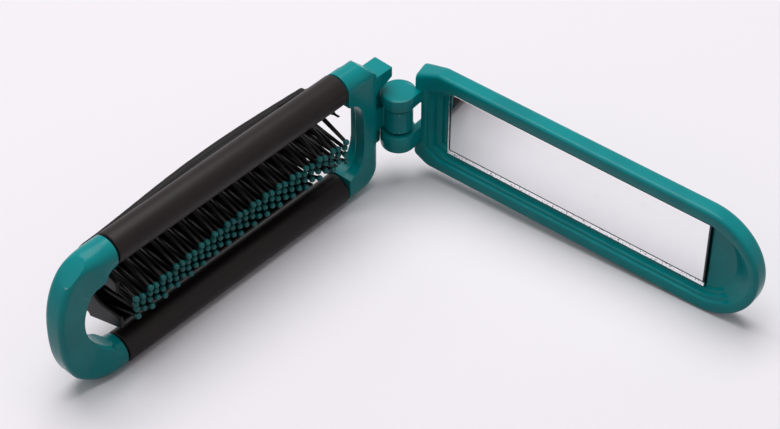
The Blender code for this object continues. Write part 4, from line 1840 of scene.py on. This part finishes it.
    def levels(self) -> list[tuple[float, float, float, float]]:
        """List the tray's rings, from the back over the front edge down to its field.

        Returns:
            Each ring's inset, far inset, depth and start at the hinge.
        """
        back, quarter = self.front + self.thick, math.pi / 2
        levels = []
        for radius, centre, turn in (
            (self.back_round, back - self.back_round, quarter),
            (self.front_round, self.front + self.front_round, math.pi),
        ):
            curve = arc((radius, centre), (radius, radius), turn, turn + quarter, self.edge_steps)
            for across, depth in curve:
                hinge_x = self.start + self.hinge_ease * across / radius
                levels.append((across, across, depth, hinge_x))
        wide, deep = self.rim_ease
        land, far_land, hinge_x = self.land - wide, self.far_land - wide, self.hinge_land_x - wide
        levels.append((land, far_land, self.front, hinge_x))
        levels.append((self.land, self.far_land, self.front + deep, self.hinge_land_x))
        for across, down in self.rim_profile:
            hinge_x = self.hinge_land_x + (self.hinge_floor_x - self.hinge_land_x) * across
            inset, far_inset = self.land + self.slope * across, self.far_land + self.far_slope * down
            levels.append((inset, far_inset, self.front + self.field_depth * down, hinge_x))
        return levels

    def tray(self, shop: Workshop) -> bpy.types.Mesh:
        """Build the tray with its arms, the glass's pocket and the notch for the knuckle.

        Args:
            shop: The workshop.

        Returns:
            The mesh.
        """
        rings = []
        for inset, far_inset, depth, hinge_x in self.levels():
            outline = self.outline(inset, far_inset, hinge_x, depth)
            rings.append([(x, depth, z) for x, z in outline])
        before, half = self.front - self.overrun, self.glass_half + self.gap
        seat = self.glass_front + self.glass_thick + self.pad_thick + 2 * self.gap
        pocket = block(
            (self.glass_x - self.gap, before, self.middle - half),
            (self.end - self.glass_to_end + self.gap, seat, self.middle + half),
        )
        notch = block(
            (self.start - self.overrun, before, self.notch[0]),
            (self.notch_x, self.front + self.thick + self.overrun, self.notch[1]),
        )
        steps = [(Carve.CUT, pocket)]
        steps += [(Carve.JOIN, self.arm(low, high)) for low, high in self.discs]
        steps.append((Carve.CUT, notch))
        return shop.settle(shop.carve(loft(rings), steps))

    def arm(self, low: float, high: float) -> bmesh.types.BMesh:
        """Return one hinge arm: a disc that runs on into the tray.

        Args:
            low: Its lower face.
            high: Its upper face.

        Returns:
            The arm.
        """
        foot = self.front + self.arm_sink
        rings = []
        levels = [(inset, low + step) for inset, step in self.disc_ease]
        levels += [(inset, high - step) for inset, step in reversed(self.disc_ease)]
        for inset, depth in levels:
            size = self.disc_radius - inset
            start = math.atan2(foot, math.sqrt(size**2 - foot**2))
            round_part = arc((0.0, 0.0), (size, size), start, math.tau, self.arc_steps)
            rings.append([(x, y, depth) for x, y in [(size, foot), *round_part]])
        return loft(rings)

    def pane(self) -> bmesh.types.BMesh:
        """Build the clear flat of the mirror glass, inside its ground edges.

        Returns:
            The flat, with its front edge eased.
        """
        low_x = self.glass_x + self.line_width + self.groove
        high_x = self.end - self.glass_to_end - self.line_width
        low = self.middle - self.glass_half + self.ground_width + self.groove
        high = self.middle + self.glass_half
        corners = [(low_x, low), (high_x, low), (high_x, high), (low_x, high)]
        signs = ((1, 1), (-1, 1), (-1, -1), (1, -1))
        wide, deep = self.pane_ease
        rings = []
        for ease, depth in ((wide, 0.0), (0.0, deep), (0.0, self.glass_thick)):
            y = self.glass_front + depth
            rings.append([(x + ease * u, y, z + ease * v) for (x, z), (u, v) in zip(corners, signs)])
        return loft(rings)

    def strip(self, low: Point2, high: Point2, tilt: float) -> bmesh.types.BMesh:
        """Return a strip along an edge of the glass.

        Args:
            low: Its lowest corner, in (x, z).
            high: Its highest corner.
            tilt: How far its upper edge is set back.

        Returns:
            The strip.
        """
        front, back = self.glass_front, self.glass_front + self.glass_thick
        section = [(front, low[1]), (front + tilt, high[1]), (back, high[1]), (back, low[1])]
        return prism(section, low[0], high[0], Along.X)

    def strips(self) -> dict[str, bmesh.types.BMesh]:
        """Build the strips along the glass's lower, hinge and far edges.

        Returns:
            The strips by the name of their edge.
        """
        low_x, high_x = self.glass_x, self.end - self.glass_to_end
        low, high = self.middle - self.glass_half, self.middle + self.glass_half
        ledge = low + self.ground_width
        return {
            "lower": self.strip((low_x, low + self.ground_lift), (high_x, ledge), self.tilt),
            "hinge": self.strip((low_x, ledge), (low_x + self.line_width, high), 0.0),
            "far": self.strip((high_x - self.line_width, ledge), (high_x, high), 0.0),
        }

    def build(self, shop: Workshop, finishes: Finishes) -> None:
        """Build the lid's pieces.

        Args:
            shop: The workshop.
            finishes: The finishes.
        """
        half, body = Half.LID, Body.LID
        shop.finish(
            "lid_tray",
            self.tray(shop),
            half,
            body,
            ("mirror_frame",),
            finishes.teal,
            crease=28.0,
        )
        shop.finish(
            "mirror_pane",
            self.pane(),
            half,
            body,
            ("mirror_glass",),
            finishes.mirror,
            crease=5.0,
        )
        dressed = {"lower": finishes.ground, "hinge": finishes.ground, "far": finishes.edge}
        for side, strip in self.strips().items():
            shop.finish(f"mirror_{side}_edge", strip, half, body, (), dressed[side])


@dataclass(frozen=True)
class Lamp:
    """One soft square light.

    Attributes:
        name: Its name.
        place: Where it hangs, in metres.
        size: Its side in metres.
        power: Its power in watts.
    """

    name: str
    place: Point3
    size: float
    power: float

    def hang(self) -> None:
        """Hang the light so that it faces the brush."""
        data = bpy.data.lights.new(self.name, "AREA")
        data.shape = "SQUARE"
        data.size = self.size
        data.energy = self.power
        made = stand(self.name, data)
        made.location = self.place
        made.rotation_euler = (-Vector(self.place)).to_track_quat("-Z", "Y").to_euler()


@dataclass
class Studio:
    """The pale floor, the soft lights and the camera at the photograph's place.

    Attributes:
        hinge: Where the hinge stands.
        lens: The camera's focal length in millimetres.
        sensor: The width of its sensor in millimetres.
        clip: The nearest and the farthest place that it sees, in metres.
        camera: Where it stands in the upright hinge frame, in millimetres.
        yaw: Where it looks, in degrees from +X.
        pitch: How far down it looks, in degrees.
        roll: How far it is tilted, in degrees.
        towards: About the way on the floor from the object to the camera.
        floor_half: Half the floor's side in metres.
        floor_thick: Its thickness in metres.
        floor_roughness: Its roughness.
        floor_specular: Its specular level.
        floor_colour: Its colour.
        floor_fall: Where its painted shade starts to darken it towards the camera and where it is
        darkest, in millimetres, and the share of its colour that is left there.
        floor_bounce: The share of its colour that bounced light sees.
        floor_glow: Where it starts to glow by itself and where that is full, in millimetres
            from the middle, and how strong it is.
        ambient: The strength of the light from all round.
        backdrop: The strength that the camera, gloss and glass see there.
        lamps: The lights.
    """

    hinge: HingeFrame
    lens: float = 110.77
    sensor: float = 36.0
    clip: Point2 = (0.01, 20.0)
    camera: Point3 = (-308.124, -277.530, 385.635)
    yaw: float = 42.2666
    pitch: float = 43.8553
    roll: float = -0.31559
    towards: Point2 = (-0.6726, -0.74)
    floor_half: float = 3.0
    floor_thick: float = 0.002
    floor_roughness: float = 0.85
    floor_specular: float = 0.15
    floor_colour: Colour = (0.93, 0.895, 0.94)
    floor_fall: tuple[float, float, float] = (-60.0, 260.0, 0.94)
    floor_bounce: float = 0.30
    floor_glow: tuple[float, float, float] = (200.0, 1600.0, 0.75)
    ambient: float = 0.26
    backdrop: float = 0.85
    lamps: tuple[Lamp, ...] = (
        Lamp("key", (0.11, 0.18, 1.10), 0.90, 10.4),
        Lamp("fill", (-0.70, 0.25, 0.70), 0.60, 0.5),
    )

    def place_camera(self) -> None:
        """Stand the camera where the photograph was taken from."""
        yaw, pitch, roll = (math.radians(angle) for angle in (self.yaw, self.pitch, self.roll))
        level = math.cos(pitch)
        ahead = Vector((math.cos(yaw) * level, math.sin(yaw) * level, -math.sin(pitch)))
        right = Vector((math.sin(yaw), -math.cos(yaw), 0.0))
        down = ahead.cross(right)
        across = right * math.cos(roll) + down * math.sin(roll)
        below = down * math.cos(roll) - right * math.sin(roll)
        turn = Matrix((across, -below, -ahead)).transposed().to_4x4()
        data = bpy.data.cameras.new("photograph")
        data.sensor_width = self.sensor
        data.lens = self.lens
        data.clip_start, data.clip_end = self.clip
        made = stand("photograph", data)
        place = Matrix.Translation(Vector(self.camera) * MILLIMETRE)
        made.matrix_world = self.hinge.place() @ place @ turn
        bpy.context.scene.camera = made

    def lay_floor(self) -> None:
        """Lay the pale floor, with painted shade that makes it a little darker towards the camera."""
        tree = ShaderTree.material("floor_paper")
        where = tree.place()
        east = tree.node("ShaderNodeSeparateXYZ", {}, {0: where}, "X")
        north = tree.node("ShaderNodeSeparateXYZ", {}, {0: where}, "Y")
        # Painted shade: the floor's colour darkens towards the camera, where the light falls off.
        near, far, share = self.floor_fall
        nearness = (east * self.towards[0] + north * self.towards[1]).ramp(near, far)
        darker = tuple(channel * share for channel in self.floor_colour)
        paper = tree.blend(nearness, self.floor_colour, darker)
        shade = tuple(channel * self.floor_bounce for channel in self.floor_colour)
        tree.feed(tree.shader.inputs["Base Color"], tree.blend(self.seen(tree), shade, paper))
        apart = tree.node("ShaderNodeVectorMath", {"operation": "LENGTH"}, {0: where}, "Value")
        glow = tree.blend(self.seen(tree), (0.0, 0.0, 0.0), self.floor_colour)
        glow = tree.blend(apart.ramp(*self.floor_glow[:2]) * self.floor_glow[2], (0.0, 0.0, 0.0), glow)
        tree.feed(tree.shader.inputs["Emission Color"], glow)
        tree.shader.inputs["Emission Strength"].default_value = 1.0
        tree.shader.inputs["Roughness"].default_value = self.floor_roughness
        tree.shader.inputs["Specular IOR Level"].default_value = self.floor_specular
        side = self.floor_half
        mesh = as_mesh(block((-side, -side, -self.floor_thick), (side, side, 0.0)), "floor")
        mesh.materials.append(tree.owner)
        floor = stand("floor", mesh)

    @staticmethod
    def seen(tree: ShaderTree) -> Value:
        """Return 1 for what the camera, gloss and glass look at, and 0 for bounced light.

        Args:
            tree: The nodes of the floor or the world.

        Returns:
            The mask.
        """
        kinds = ("Is Camera Ray", "Is Glossy Ray", "Is Transmission Ray")
        camera, glossy, through = (tree.node("ShaderNodeLightPath", {}, {}, kind) for kind in kinds)
        return camera.either(glossy).either(through)

    def surround(self) -> None:
        """Set the soft light from all round, with a pale backdrop that gloss and glass show."""
        world = bpy.data.worlds.new("studio")
        tree = ShaderTree(world, "Background")
        tree.shader.inputs["Color"].default_value = (1.0, 1.0, 1.0, 1.0)
        strength = self.seen(tree) * (self.backdrop - self.ambient) + self.ambient
        tree.feed(tree.shader.inputs["Strength"], strength)
        bpy.context.scene.world = world

    def build(self) -> None:
        """Set up the studio."""
        bpy.context.scene.view_settings.view_transform = "Standard"
        self.surround()
        self.place_camera()
        self.lay_floor()
        for lamp in self.lamps:
            lamp.hang()
        LOG.info("studio ready")


def plain_nodes(frame: dict, finishes: Finishes) -> None:
    """Give the hidden nodes that stay their own finishes.

    Args:
        frame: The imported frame.
        finishes: The finishes.
    """
    for name, material in (("hinge_pin", finishes.steel), ("mirror_adhesive_pad", finishes.tape)):
        mesh = frame["nodes"][name].data
        mesh.materials.clear()
        mesh.materials.append(material)


def main() -> None:
    """Build the brush's pieces in order and set up the studio."""
    logging.basicConfig(level=logging.INFO, format="%(name)s %(message)s")
    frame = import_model()
    shop = Workshop(HingeFrame.from_joints(frame["joints"]))
    finishes = Finishes()
    shared = BrushSizes()
    brush = (RailSleeves(shared), FarEndCap(shared), HingeEndCap(shared), BristlePlate(shared))
    for assembly in (*brush, MirrorLid()):
        assembly.build(shop, finishes)
        LOG.info("%s done", type(assembly).__name__)
    plain_nodes(frame, finishes)
    Studio(shop.hinge).build()
    LOG.info("%d pieces made", shop.count)


if __name__ == "__main__":
    main()
